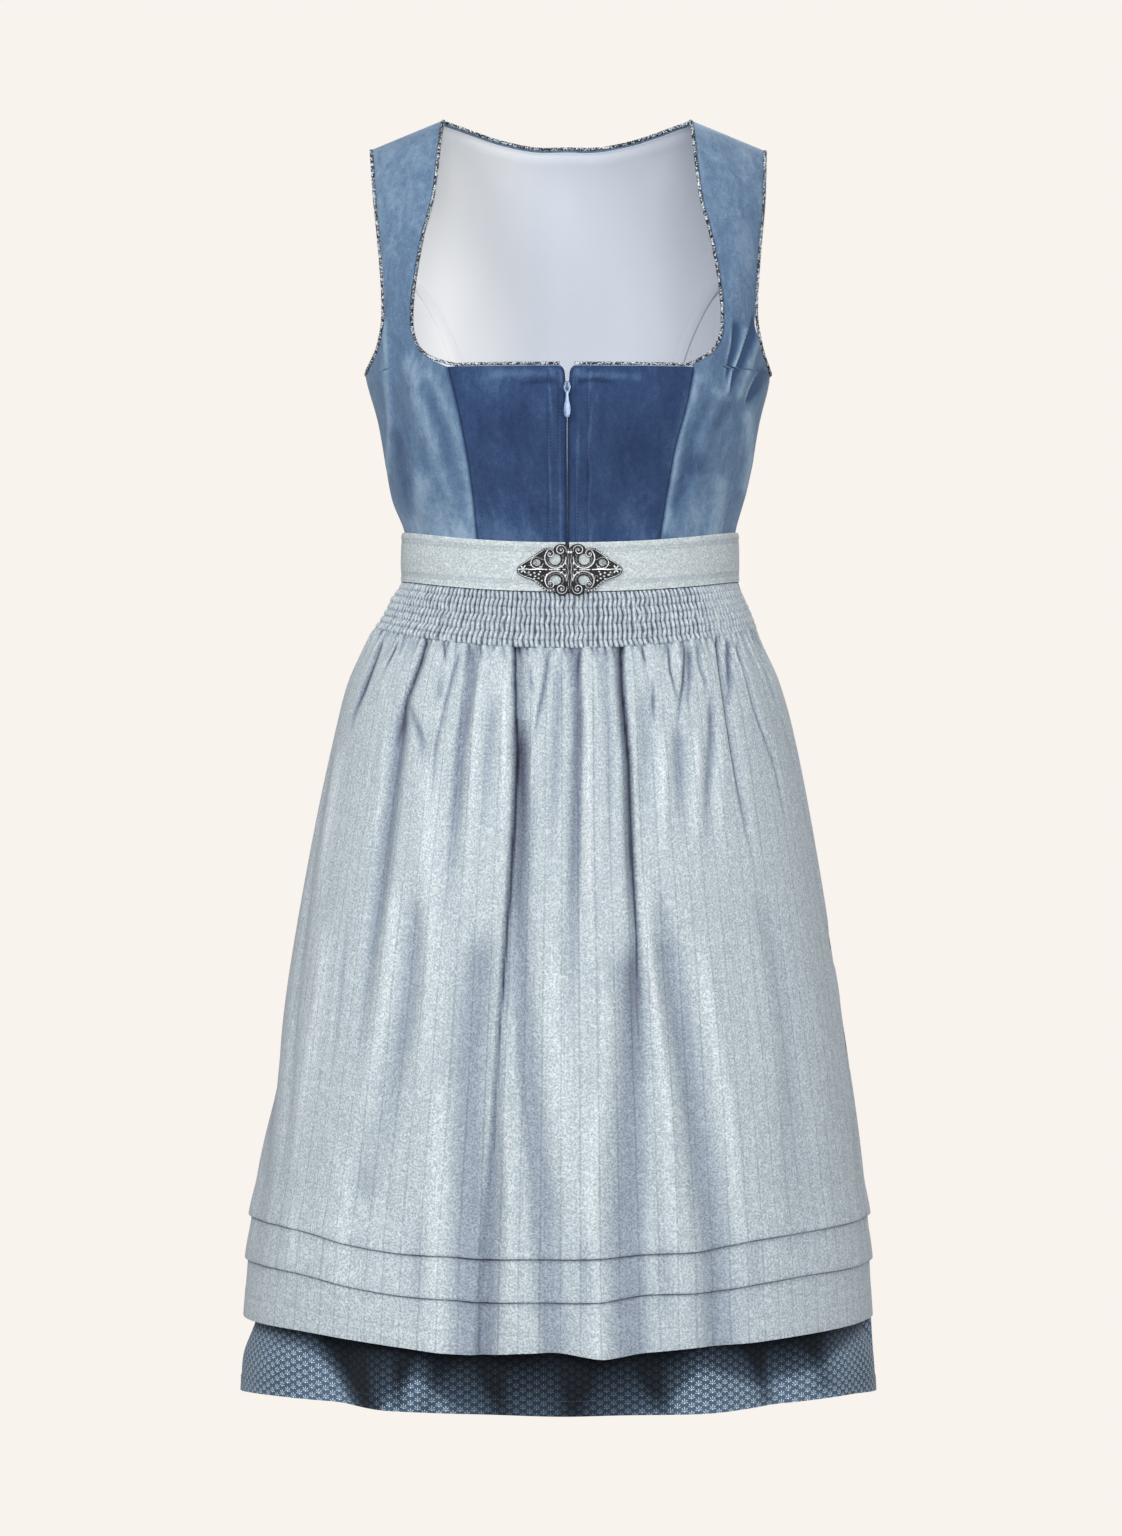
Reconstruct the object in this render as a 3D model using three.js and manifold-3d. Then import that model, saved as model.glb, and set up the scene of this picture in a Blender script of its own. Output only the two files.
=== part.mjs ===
// A dirndl, hollow and filled out as if worn: a sleeveless velvet bodice with wide straps and a zip,
// a gathered printed skirt, and a silvery apron with a smocked yoke, two tucks and a filigree clasp.
// Millimetres, +Z up. The front faces -Y and +X is the viewer's right. The origin lies under the
// shoulder seams, where the wearer holds the dress up.
import * as THREE from "three";
import { mergeVertices } from "three/addons/utils/BufferGeometryUtils.js";
import Module from "manifold-3d";

// ---- Driving dimensions ----

const HEIGHTS = {
  shoulderDrop: 24,
  underarm: -210,
  neckline: -210,
  notch: -221,
  waistSeam: -361,
  bandTop: -338,
  bandBottom: -379,
  yokeBottom: -416,
  tuckOne: -897,
  tuckTwo: -932,
  apronHem: -979,
  skirtHem: -1041,
};
const THICKNESS = { velvet: 1.8, lining: 1, skirt: 1.2, apron: 1.2, yoke: 1.3, zipTape: 1 };
const SEAM = 0.3;
const CORD_RADIUS = 1.4;

// Half-widths to the left and right, half-depths to the front and back, and the power of the rounded
// outline of the outer form: 2 is an ellipse, and more is squarer.
const FORM = [
  { z: 0, left: 172, right: 174, front: 118, back: 98, round: 2.3 },
  { z: -150, left: 172, right: 174, front: 118, back: 98, round: 2.3 },
  { z: -210, left: 165, right: 167, front: 118, back: 98, round: 2.3 },
  { z: -247, left: 155, right: 158, front: 117, back: 95, round: 2.3 },
  { z: -280, left: 149, right: 152, front: 113, back: 91, round: 2.3 },
  { z: -312, left: 143, right: 145, front: 104, back: 88, round: 2.3 },
  { z: -338, left: 133, right: 138, front: 98, back: 87, round: 2.3 },
  { z: -361, left: 132.5, right: 137.5, front: 98, back: 88, round: 2.3 },
  { z: -379, left: 133.5, right: 138.5, front: 99, back: 90, round: 2.3 },
  { z: -393, left: 142, right: 145, front: 103, back: 98, round: 2.25 },
  { z: -409, left: 150, right: 152, front: 107, back: 106, round: 2.2 },
  { z: -426, left: 162, right: 158, front: 112, back: 113, round: 2.15 },
  { z: -458, left: 178, right: 173, front: 121, back: 124, round: 2.1 },
  { z: -499, left: 189, right: 185, front: 130, back: 136, round: 2.05 },
  { z: -573, left: 205, right: 200, front: 142, back: 148, round: 2 },
  { z: -672, left: 223, right: 216.5, front: 153, back: 158, round: 2 },
  { z: -795, left: 242, right: 235, front: 161, back: 167, round: 2 },
  { z: -893, left: 257.5, right: 246, front: 167, back: 176, round: 2 },
  { z: -967, left: 263, right: 249, front: 171, back: 182, round: 2 },
  { z: -1042, left: 267, right: 253, front: 173, back: 186, round: 2 },
];
const SHOULDER_PROFILE = 1.9;
const BUST = { angle: 36, spread: 20, z: -240, reach: 46, rise: 6 };

// Inner edge of each strap, from the neck point down to the squared neckline.
const NECK_EDGE = [
  { z: 0, x: 103 },
  { z: -68, x: 109.5 },
  { z: -101, x: 117.5 },
  { z: -143, x: 124.5 },
  { z: -168, x: 126.3 },
  { z: -183, x: 125 },
  { z: -196, x: 119 },
  { z: -204, x: 109 },
  { z: -210, x: 96 },
];
// Outer edge of the straps and sides round the armhole.
const ARMHOLE_EDGE = [
  { z: 0, left: 159, right: 161 },
  { z: -60, left: 155.5, right: 159.5 },
  { z: -120, left: 150, right: 154.5 },
  { z: -165, left: 148, right: 152.5 },
  { z: -190, left: 152.5, right: 157 },
  { z: -202, left: 158.5, right: 161.5 },
  { z: -207.5, left: 162.3, right: 164.4 },
];
const PRINCESS_FRONT = [
  { z: -210, left: 96, right: 102 },
  { z: -240, left: 88.5, right: 96.5 },
  { z: -275, left: 81.5, right: 87 },
  { z: -309, left: 76.5, right: 81 },
  { z: -361, left: 71, right: 72.5 },
];
const PRINCESS_BACK = [
  { z: -112, x: 149 },
  { z: -125, x: 130 },
  { z: -150, x: 112 },
  { z: -190, x: 95 },
  { z: -250, x: 80 },
  { z: -310, x: 69 },
  { z: -361, x: 62 },
];
const BACK_NECK = [
  { x: 0, z: -19 },
  { x: 26, z: -19 },
  { x: 55, z: -14 },
  { x: 76, z: -8 },
  { x: 92, z: -3 },
  { x: 103, z: 0 },
];

// Apron: how far each level hangs lower at the centre front, and the angles of its two side edges.
const FRONT_DIP = [
  { z: -338, dip: 12 },
  { z: -379, dip: 11 },
  { z: -416, dip: 18 },
  { z: -600, dip: 20 },
  { z: -897, dip: 20 },
  { z: -979, dip: 14 },
];
const APRON_EDGE = { left: -101, right: 84 };
const GATHERS = 42;
const SMOCKING_RIBS = 109;
const RIB_RISE = 1.1;
const GATHER_RISE = 1.9;

// Creases of the apron, by their place across at four heights, with the depth at top, middle and hem.
const APRON_CREASE_HEIGHTS = [-436, -600, -760, -900];
const APRON_CREASES = [
  { x: [-178, -206, -222, -236], depth: [3, 4, 5, 5], width: 10 },
  { x: [-152, -166, -168, -164], depth: [4, 4, 5, 4], width: 12 },
  { x: [-122, -141, -146, -152], depth: [7, 6, 3, 2], width: 8 },
  { x: [-78, -90, -104, -116], depth: [5, 5, 3, 2], width: 9 },
  { x: [-38, -42, -53, -62], depth: [9, 14, 12, 8], width: 8 },
  { x: [-18, -21, -24, -26], depth: [5, 2, 3, 4], width: 8 },
  { x: [9, 7, 2, 2], depth: [6, 4, 2, 0], width: 8 },
  { x: [44, 50, 56, 54], depth: [9, 13, 10, 6], width: 8 },
  { x: [89, 90, 88, 110], depth: [5, 4, 4, 4], width: 10 },
  { x: [117, 138, 161, 170], depth: [6, 6, 5, 3], width: 9 },
  { x: [150, 184, 208, 216], depth: [4, 5, 6, 6], width: 8 },
];
// Folds of the skirt by angle from the centre front, with their depth at the hips and at the hem.
const BACK_FOLDS = [
  { angle: 104, hip: 3, hem: 7, width: 5.5 },
  { angle: 121, hip: 5, hem: 12, width: 5 },
  { angle: 138, hip: 3, hem: 8, width: 6 },
  { angle: 153, hip: 6, hem: 13, width: 5 },
  { angle: 171, hip: 4, hem: 10, width: 5.5 },
  { angle: 187, hip: 5, hem: 12, width: 5 },
  { angle: 205, hip: 3, hem: 9, width: 6 },
  { angle: 221, hip: 6, hem: 14, width: 5 },
  { angle: 239, hip: 4, hem: 9, width: 5.5 },
  { angle: 256, hip: 3, hem: 8, width: 5 },
];
const HEM_BULGES = [
  { angle: -62, out: 5, width: 12 },
  { angle: -33, out: 7, width: 6 },
  { angle: 28, out: 7, width: 8 },
  { angle: 60, out: 4, width: 9 },
];
// The skirt's hem rides a little higher between the front and the sides.
const HEM_RISE = { angle: 58, spread: 26, rise: 7 };

const COLOURS = {
  velvetDark: 0x37558c,
  velvetLight: 0x6f8bab,
  lining: 0xd9e2ee,
  tape: 0xe6edf5,
  cord: 0x3b3e44,
  zip: 0x22304a,
  slider: 0x7e92b5,
  pull: 0x8fb0d8,
  skirt: 0x2c4664,
  apron: 0xb7c3cc,
  band: 0xc6cfd3,
  silver: 0x9ea2a3,
};

// ---- Form ----

const radians = (degrees) => (degrees * Math.PI) / 180;

// Smooth reading of a table whose rows run along one column.
function read(table, along, at, column) {
  const rising = table[0][along] < table[table.length - 1][along];
  const rows = rising ? table : [...table].reverse();
  const last = rows.length - 1;
  if (at <= rows[0][along]) return rows[0][column];
  if (at >= rows[last][along]) return rows[last][column];
  let i = 0;
  while (rows[i + 1][along] < at) i += 1;
  const step = rows[i + 1][along] - rows[i][along];
  const slope = (k) => {
    if (k === 0 || k === last) return 0;
    return (rows[k + 1][column] - rows[k - 1][column]) / (rows[k + 1][along] - rows[k - 1][along]);
  };
  const t = (at - rows[i][along]) / step;
  const from = rows[i][column];
  const to = rows[i + 1][column];
  const fromSlope = i === 0 ? (to - from) / step : slope(i);
  const toSlope = i + 1 === last ? (to - from) / step : slope(i + 1);
  const t2 = t * t;
  const t3 = t2 * t;
  return (
    (2 * t3 - 3 * t2 + 1) * from +
    (t3 - 2 * t2 + t) * step * fromSlope +
    (3 * t2 - 2 * t3) * to +
    (t3 - t2) * step * toSlope
  );
}

const bell = (distance, width) => Math.exp(-((distance / width) ** 2));
const signedPower = (value, power) => Math.sign(value) * Math.abs(value) ** power;

// Share of the full depth that is left at a height between the underarm and the shoulder seam.
function shoulderShare(z) {
  const rise = Math.max(0, 1 - z / HEIGHTS.underarm);
  return Math.max(0, 1 - rise ** SHOULDER_PROFILE) ** (1 / SHOULDER_PROFILE);
}

// A point of the outer form. Angle 0 is the centre front and 90 the viewer's right.
function form(angle, z, out = 0) {
  const s = Math.sin(radians(angle));
  const c = Math.cos(radians(angle));
  const width = read(FORM, "z", z, s > 0 ? "right" : "left") + out;
  const depth = read(FORM, "z", z, c > 0 ? "front" : "back");
  const share = z > HEIGHTS.underarm ? shoulderShare(z) : 1;
  const bust = BUST.rise * bell(Math.abs(angle) - BUST.angle, BUST.spread) * bell(z - BUST.z, BUST.reach);
  const round = read(FORM, "z", z, "round");
  const x = width * signedPower(s, 2 / round);
  const y = -(depth * share + bust + out) * signedPower(c, 2 / round);
  const outside = Math.max(0, Math.abs(x) - NECK_EDGE[0].x);
  const slope = HEIGHTS.shoulderDrop / (ARMHOLE_EDGE[0].right - NECK_EDGE[0].x);
  const raised = Math.max(0, 1 - z / HEIGHTS.underarm);
  return new THREE.Vector3(x, y, z - outside * slope * raised ** 3);
}

// The angle on the form at which a point lies at x, on the front or on the back.
function angleAt(x, z, back = false) {
  const width = read(FORM, "z", z, x > 0 ? "right" : "left");
  const share = Math.min(1, Math.abs(x) / width);
  const turn = (Math.asin(share ** (read(FORM, "z", z, "round") / 2)) * 180) / Math.PI;
  const front = Math.sign(x) * turn;
  return back ? 180 - front : front;
}

// ---- Walls ----

function geometry(points, faces) {
  const made = new THREE.BufferGeometry();
  made.setAttribute("position", new THREE.Float32BufferAttribute(points.flatMap((p) => [p.x, p.y, p.z]), 3));
  made.setIndex(faces.flat());
  return made;
}

// Normals of a grid of points whose rows run downwards and columns to the viewer's right.
function normals(grid, closed) {
  const rows = grid.length;
  const columns = grid[0].length;
  const wrap = (c) => (closed ? (c + columns) % columns : Math.min(columns - 1, Math.max(0, c)));
  return grid.map((row, r) =>
    row.map((_, c) => {
      const across = grid[r][wrap(c + 1)].clone().sub(grid[r][wrap(c - 1)]);
      const down = grid[Math.min(rows - 1, r + 1)][c].clone().sub(grid[Math.max(0, r - 1)][c]);
      return down.cross(across).normalize();
    }),
  );
}

const inward = (grid, thickness, closed = false) => {
  const n = normals(grid, closed);
  return grid.map((row, r) => row.map((p, c) => p.clone().addScaledVector(n[r][c], -thickness)));
};

// A closed wall between an outer and an inner grid of the same size.
function wall(outer, inner, closed = false) {
  const rows = outer.length;
  const columns = outer[0].length;
  const points = [...outer.flat(), ...inner.flat()];
  const out = (r, c) => r * columns + (c % columns);
  const inn = (r, c) => rows * columns + out(r, c);
  const faces = [];
  const quad = (a, b, c, d) => faces.push([a, b, c], [a, c, d]);
  const spans = closed ? columns : columns - 1;
  for (let r = 0; r < rows - 1; r += 1) {
    for (let c = 0; c < spans; c += 1) {
      quad(out(r, c), out(r + 1, c), out(r + 1, c + 1), out(r, c + 1));
      quad(inn(r, c), inn(r, c + 1), inn(r + 1, c + 1), inn(r + 1, c));
    }
    if (!closed) {
      quad(inn(r, 0), inn(r + 1, 0), out(r + 1, 0), out(r, 0));
      quad(out(r, spans), out(r + 1, spans), inn(r + 1, spans), inn(r, spans));
    }
  }
  for (let c = 0; c < spans; c += 1) {
    quad(out(0, c), out(0, c + 1), inn(0, c + 1), inn(0, c));
    quad(inn(rows - 1, c), inn(rows - 1, c + 1), out(rows - 1, c + 1), out(rows - 1, c));
  }
  return geometry(points, faces);
}

// A round cord along a list of points, with flat ends or closed on itself.
function cord(path, radius, sides, closed = false) {
  const count = path.length;
  const points = [];
  const faces = [];
  let side = new THREE.Vector3(0, 0, 1);
  path.forEach((p, i) => {
    const before = path[closed ? (i + count - 1) % count : Math.max(0, i - 1)];
    const after = path[closed ? (i + 1) % count : Math.min(count - 1, i + 1)];
    const along = after.clone().sub(before).normalize();
    side = side.clone().addScaledVector(along, -side.dot(along)).normalize();
    const up = along.clone().cross(side);
    for (let k = 0; k < sides; k += 1) {
      const turn = (2 * Math.PI * k) / sides;
      points.push(
        p.clone().addScaledVector(side, radius * Math.cos(turn)).addScaledVector(up, radius * Math.sin(turn)),
      );
    }
  });
  const at = (i, k) => (i % count) * sides + (k % sides);
  const spans = closed ? count : count - 1;
  // A closed cord joins its last ring to its first with the turn that lines their points up best.
  let shift = 0;
  if (closed) {
    const gap = (s) => points[at(count - 1, 0)].distanceTo(points[at(0, s)]);
    for (let s = 1; s < sides; s += 1) if (gap(s) < gap(shift)) shift = s;
  }
  for (let i = 0; i < spans; i += 1) {
    const turned = closed && i === count - 1 ? shift : 0;
    for (let k = 0; k < sides; k += 1) {
      faces.push([at(i, k), at(i, k + 1), at(i + 1, k + 1 + turned)]);
      faces.push([at(i, k), at(i + 1, k + 1 + turned), at(i + 1, k + turned)]);
    }
  }
  if (!closed) {
    for (let k = 1; k < sides - 1; k += 1) {
      faces.push([at(0, 0), at(0, k + 1), at(0, k)]);
      faces.push([at(count - 1, 0), at(count - 1, k), at(count - 1, k + 1)]);
    }
  }
  return geometry(points, faces);
}

const group = new THREE.Group();

function add(name, shape, colour, roughness, metalness = 0) {
  const material = new THREE.MeshStandardMaterial({ color: colour, roughness, metalness });
  const mesh = new THREE.Mesh(shape, material);
  mesh.name = name;
  group.add(mesh);
  return mesh;
}

const spread = (from, to, steps) =>
  Array.from({ length: steps + 1 }, (_, i) => from + ((to - from) * i) / steps);

// ---- Bodice ----

const UPPER = [0, -6, -22, -52, -92, -135, -168, -190, -202, -207.5];
const BACK_UPPER = [0, -6, -22, -52, -92];
const BACK_ARMHOLE = [-112, -120, -134, -152, -176, -194, -207.5];
const LOWER = [-210, -221, -240, -272, -306, -335, -361];
const FRONT_GAP = 0.9;
const NOTCH_SPREAD = 4.4;
// Half a seam's gap as an angle, on a ring with a radius of about 140 mm.
const HALF_SEAM = 0.1;

const neckX = (z) => read(NECK_EDGE, "z", z, "x");
const armholeX = (z, side) => read(ARMHOLE_EDGE, "z", z, side);

// The outward normal of the form at one of its places.
function formNormal({ angle, z }) {
  const across = form(angle + 1, z).sub(form(angle - 1, z));
  const down = form(angle, z - 2).sub(form(angle, Math.min(0, z + 2)));
  return down.cross(across).normalize();
}

// Points of a grid of places on the form, moved in by a depth. A front or a back piece stays on its
// own side of the shoulder seam.
function layer(places, depth, facing) {
  return places.map((row) =>
    row.map((place) => {
      const p = form(place.angle, place.z).addScaledVector(formNormal(place), -depth);
      if (p.y * facing < SEAM / 2) p.y = (facing * SEAM) / 2;
      return p;
    }),
  );
}

// Places of a panel whose rows each run between two angles, from the viewer's left to right.
function panel(rows, columns, edges) {
  return rows.map((z) => {
    const [from, to] = edges(z);
    return spread(from, to, columns).map((angle) => ({ angle, z }));
  });
}

function frontSide(side) {
  const sign = side === "left" ? -1 : 1;
  return panel([...UPPER, ...LOWER], 8, (z) => {
    const seam = z > HEIGHTS.neckline ? neckX(z) : read(PRINCESS_FRONT, "z", z, side);
    const inner = angleAt(sign * seam, z) + sign * HALF_SEAM;
    const outer = z > HEIGHTS.underarm ? angleAt(sign * armholeX(z, side), z) : sign * (90 - HALF_SEAM);
    return sign < 0 ? [outer, inner] : [inner, outer];
  });
}

function zipEdge(z) {
  const above = Math.max(0, (z - HEIGHTS.notch) / (HEIGHTS.neckline - HEIGHTS.notch));
  return FRONT_GAP + NOTCH_SPREAD * above;
}

function frontCentre(side) {
  const sign = side === "left" ? -1 : 1;
  return panel(LOWER, 5, (z) => {
    const inner = angleAt(sign * zipEdge(z), z);
    const outer = angleAt(sign * read(PRINCESS_FRONT, "z", z, side), z) - sign * HALF_SEAM;
    return sign < 0 ? [outer, inner] : [inner, outer];
  });
}

// Columns of the back by their share of its half-width. The neck points are the third from each side.
const BACK_COLUMNS = [1, 0.82, 0.64, 0.5, 0.34, 0.17, 0, -0.17, -0.34, -0.5, -0.64, -0.82, -1];
const NECK_DIP_REACH = 110;

// A height of the back, lowered towards its neckline between the neck points.
function backHeight(x, z) {
  const top = read(BACK_NECK, "x", Math.abs(x), "z");
  return z + top * Math.max(0, 1 + z / NECK_DIP_REACH);
}

function backCentre() {
  return [...BACK_UPPER, ...BACK_ARMHOLE, ...LOWER].map((z) => {
    const seamed = z <= PRINCESS_BACK[0].z;
    return BACK_COLUMNS.map((share) => {
      const armhole = armholeX(z, share < 0 ? "left" : "right");
      const half = seamed ? read(PRINCESS_BACK, "z", z, "x") - SEAM / 2 : armhole;
      const height = backHeight(share * half, z);
      return { angle: angleAt(share * half, height, true), z: height };
    });
  });
}

function backSide(side) {
  const sign = side === "left" ? -1 : 1;
  return panel([...BACK_ARMHOLE, ...LOWER], 5, (z) => {
    const seam = angleAt(sign * (read(PRINCESS_BACK, "z", z, "x") + SEAM / 2), z, true);
    const under = sign > 0 ? 90 + HALF_SEAM : 270 - HALF_SEAM;
    const outer = z > HEIGHTS.underarm ? angleAt(sign * armholeX(z, side), z, true) : under;
    return sign < 0 ? [seam, outer] : [outer, seam];
  });
}

const panels = {
  bodice_front_side_left: frontSide("left"),
  bodice_front_side_right: frontSide("right"),
  bodice_front_centre_left: frontCentre("left"),
  bodice_front_centre_right: frontCentre("right"),
  bodice_back_centre: backCentre(),
  bodice_back_side_left: backSide("left"),
  bodice_back_side_right: backSide("right"),
};
for (const [name, places] of Object.entries(panels)) {
  const facing = name.includes("front") ? -1 : 1;
  const colour = name.includes("front_centre") ? COLOURS.velvetDark : COLOURS.velvetLight;
  const cloth = wall(layer(places, 0, facing), layer(places, THICKNESS.velvet, facing));
  add(name, cloth, colour, 0.9);
}

// ---- Lining of the back and its covered seams ----

const LINING_DEPTH = THICKNESS.velvet + 1.6;
const LINING_INSET = 2.8;
const LINING_ROWS = [-2, -16, -50, -95, -150, -190, -206, -222, -262, -306, -335, -356];
const LINING_COLUMNS = 12;
// The angle at which the lining stops short of the side seams.
const LINING_SIDE = 89.4;

// The angle at which the back's edge lies: the armhole above the underarm, the side seam below it.
function backEdge(z, side) {
  const sign = side === "left" ? -1 : 1;
  if (z <= HEIGHTS.underarm) return 180 - sign * LINING_SIDE;
  return angleAt(sign * (armholeX(z, side) - LINING_INSET), z, true);
}

const liningPlaces = LINING_ROWS.map((z) => {
  return spread(backEdge(z, "right"), backEdge(z, "left"), LINING_COLUMNS).map((angle) => {
    const x = form(angle, z).x;
    return { angle, z: backHeight(x, z - LINING_INSET) };
  });
});
const liningOuter = layer(liningPlaces, LINING_DEPTH, 1);
const liningInner = layer(liningPlaces, LINING_DEPTH + THICKNESS.lining, 1);
add("lining_back", wall(liningOuter, liningInner), COLOURS.lining, 0.7);

const TAPE = { width: 9.5, thickness: 1, clearance: 2, rows: [-126, -140, -160, -190, -222, -262, -306, -350] };
for (const side of ["left", "right"]) {
  const sign = side === "left" ? -1 : 1;
  const places = TAPE.rows.map((z) => {
    const middle = read(PRINCESS_BACK, "z", z, "x");
    const edge = (shift) => angleAt(sign * (middle + shift), z, true);
    const [near, far] = [edge(-TAPE.width / 2), edge(TAPE.width / 2)];
    const across = sign < 0 ? [near, edge(0), far] : [far, edge(0), near];
    return across.map((angle) => ({ angle, z }));
  });
  const depth = LINING_DEPTH + THICKNESS.lining + TAPE.clearance;
  const strip = wall(layer(places, depth, 1), layer(places, depth + TAPE.thickness, 1));
  add(`lining_seam_${side}`, strip, COLOURS.tape, 0.6);
}

// ---- Piped edges ----

const CORD_SIDES = 5;

// A cord along the edge of a panel, given by its places, lying beyond the edge on the side that turns
// the way the sign says.
function edgePath(places, turn, closed = false) {
  const count = places.length;
  const middle = places.map((place) =>
    form(place.angle, place.z).addScaledVector(formNormal(place), -THICKNESS.velvet / 2),
  );
  return middle.map((p, i) => {
    const before = middle[closed ? (i + count - 1) % count : Math.max(0, i - 1)];
    const after = middle[closed ? (i + 1) % count : Math.min(count - 1, i + 1)];
    const along = after.clone().sub(before).normalize();
    const away = along.cross(formNormal(places[i])).normalize();
    return p.clone().addScaledVector(away, turn * (CORD_RADIUS + SEAM));
  });
}

for (const side of ["left", "right"]) {
  const sign = side === "left" ? -1 : 1;
  const corner = read(PRINCESS_FRONT, "z", HEIGHTS.neckline, side) - 6;
  const front = spread(zipEdge(HEIGHTS.neckline) + 1, corner, 5).map((x) => ({ x, z: HEIGHTS.neckline }));
  const strap = [...UPPER].reverse().slice(1).map((z) => ({ x: neckX(z), z }));
  const places = [...front, ...strap].map(({ x, z }) => ({ angle: angleAt(sign * x, z), z }));
  const path = edgePath(places, -sign);
  path[path.length - 1].y = -SEAM;
  add(`piping_neck_${side}`, cord(path, CORD_RADIUS, CORD_SIDES), COLOURS.cord, 0.5, 0.3);

  const frontEdge = [...UPPER].reverse().map((z) => ({ angle: angleAt(sign * armholeX(z, side), z), z }));
  const backEdgeRows = [...BACK_UPPER.slice(1), ...BACK_ARMHOLE];
  const back = backEdgeRows.map((z) => ({ angle: angleAt(sign * armholeX(z, side), z, true), z }));
  const loop = [{ angle: sign * 90, z: HEIGHTS.underarm }, ...frontEdge, ...back];
  const round = edgePath(loop, sign, true);
  add(`piping_armhole_${side}`, cord(round, CORD_RADIUS, CORD_SIDES, true), COLOURS.cord, 0.5, 0.3);
}

// The back cord starts a little way along, clear of the two front cords.
const NECK_CORD_START = 0.12;
const neckBack = BACK_COLUMNS.slice(2, -2).map((share) => {
  const x = share * ARMHOLE_EDGE[0].right;
  const z = backHeight(x, 0);
  return { angle: angleAt(x, z, true), z };
});
const neckBackPath = edgePath(neckBack, -1);
neckBackPath[0].lerp(neckBackPath[1], NECK_CORD_START);
neckBackPath.at(-1).lerp(neckBackPath.at(-2), NECK_CORD_START);
add("piping_neck_back", cord(neckBackPath, CORD_RADIUS, CORD_SIDES), COLOURS.cord, 0.5, 0.3);

// ---- Zip ----

const ZIP = { tapeReach: 9, tapeTop: -222.5, bailZ: -226.8, bodyWidth: 4.6, bodyHeight: 7, bodyDepth: 2.4 };
const BAIL = { outer: 2.95, inner: 1.95, width: 1.8 };
const PULL = { bar: 0.7, axisOut: 1, holeHalf: 1.3, holeEnd: -3.4, length: 25, halfWidth: 2.9, thickness: 1.2 };

for (const side of ["left", "right"]) {
  const sign = side === "left" ? -1 : 1;
  const places = [ZIP.tapeTop, ...LOWER.slice(2)].map((z) => {
    const edges = [0.2, ZIP.tapeReach].map((x) => angleAt(sign * x, z));
    return (sign < 0 ? edges.reverse() : edges).map((angle) => ({ angle, z }));
  });
  const depth = THICKNESS.velvet + SEAM;
  const strip = wall(layer(places, depth, -1), layer(places, depth + THICKNESS.zipTape, -1));
  add(`zip_tape_${side}`, strip, COLOURS.zip, 0.8);
}

const wasm = await Module();
wasm.setup();

function solid(shape) {
  const bare = shape.clone();
  bare.deleteAttribute("normal");
  bare.deleteAttribute("uv");
  const merged = mergeVertices(bare, 1e-4);
  const mesh = new wasm.Mesh({
    numProp: 3,
    vertProperties: merged.attributes.position.array,
    triVerts: new Uint32Array(merged.index.array),
  });
  return new wasm.Manifold(mesh);
}

function shapeOf(manifold) {
  const mesh = manifold.getMesh();
  const made = new THREE.BufferGeometry();
  made.setAttribute("position", new THREE.BufferAttribute(mesh.vertProperties, 3));
  made.setIndex(new THREE.BufferAttribute(mesh.triVerts, 1));
  return made;
}

const joined = (shapes) => shapeOf(shapes.map(solid).reduce((all, next) => all.add(next)));

function plate(outline, depth, holes = [], curveSegments = 6) {
  const shape = new THREE.Shape(outline);
  shape.holes.push(...holes.map((hole) => new THREE.Path(hole)));
  return new THREE.ExtrudeGeometry(shape, { depth, bevelEnabled: false, curveSegments });
}

const circle = (x, y, radius, sides, start = 0) =>
  Array.from({ length: sides }, (_, k) => {
    const turn = start + (2 * Math.PI * k) / sides;
    return new THREE.Vector2(x + radius * Math.cos(turn), y + radius * Math.sin(turn));
  });
const outlineOf = (pairs) => pairs.map(([x, y]) => new THREE.Vector2(x, y));

// The face of the slider lies just in front of the cloth at the centre front.
const sliderFace = form(0, ZIP.bailZ).y - SEAM - ZIP.bodyDepth;

function sliderShape() {
  const half = ZIP.bodyWidth / 2;
  const top = ZIP.bodyHeight / 2;
  const outline = outlineOf([
    [-half, top - 1.5],
    [-half + 1.5, top],
    [half - 1.5, top],
    [half, top - 1.5],
    [half - 0.6, -top + 1.5],
    [half - 2, -top],
    [-half + 2, -top],
    [-half + 0.6, -top + 1.5],
  ].reverse());
  const body = plate(outline, ZIP.bodyDepth).translate(0, 0, -ZIP.bodyDepth);
  const arch = [...circle(0, 0, BAIL.outer, 12), ...circle(0, 0, BAIL.inner, 12)];
  const bail = plate(arch.slice(0, 12), BAIL.width, [arch.slice(12)]);
  bail.translate(0, 0, -BAIL.width / 2).rotateY(Math.PI / 2);
  return joined([body, bail]);
}

function pullShape() {
  const outline = outlineOf([
    [PULL.halfWidth, PULL.bar],
    [-PULL.halfWidth, PULL.bar],
    [-1.9, -4.4],
    [-1.2, -6.2],
    [-1.5, -9],
    [-2.4, -13.5],
    [-PULL.halfWidth, -19],
    [-2.5, -22.8],
    [-1.2, -PULL.length],
    [1.2, -PULL.length],
    [2.5, -22.8],
    [PULL.halfWidth, -19],
    [2.4, -13.5],
    [1.5, -9],
    [1.2, -6.2],
    [1.9, -4.4],
  ]);
  const hole = outlineOf([
    [PULL.holeHalf, -PULL.bar],
    [PULL.holeHalf - 0.2, PULL.holeEnd],
    [0.2 - PULL.holeHalf, PULL.holeEnd],
    [-PULL.holeHalf, -PULL.bar],
  ]);
  return plate(outline, PULL.thickness, [hole]).translate(0, 0, -PULL.thickness / 2);
}

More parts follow.
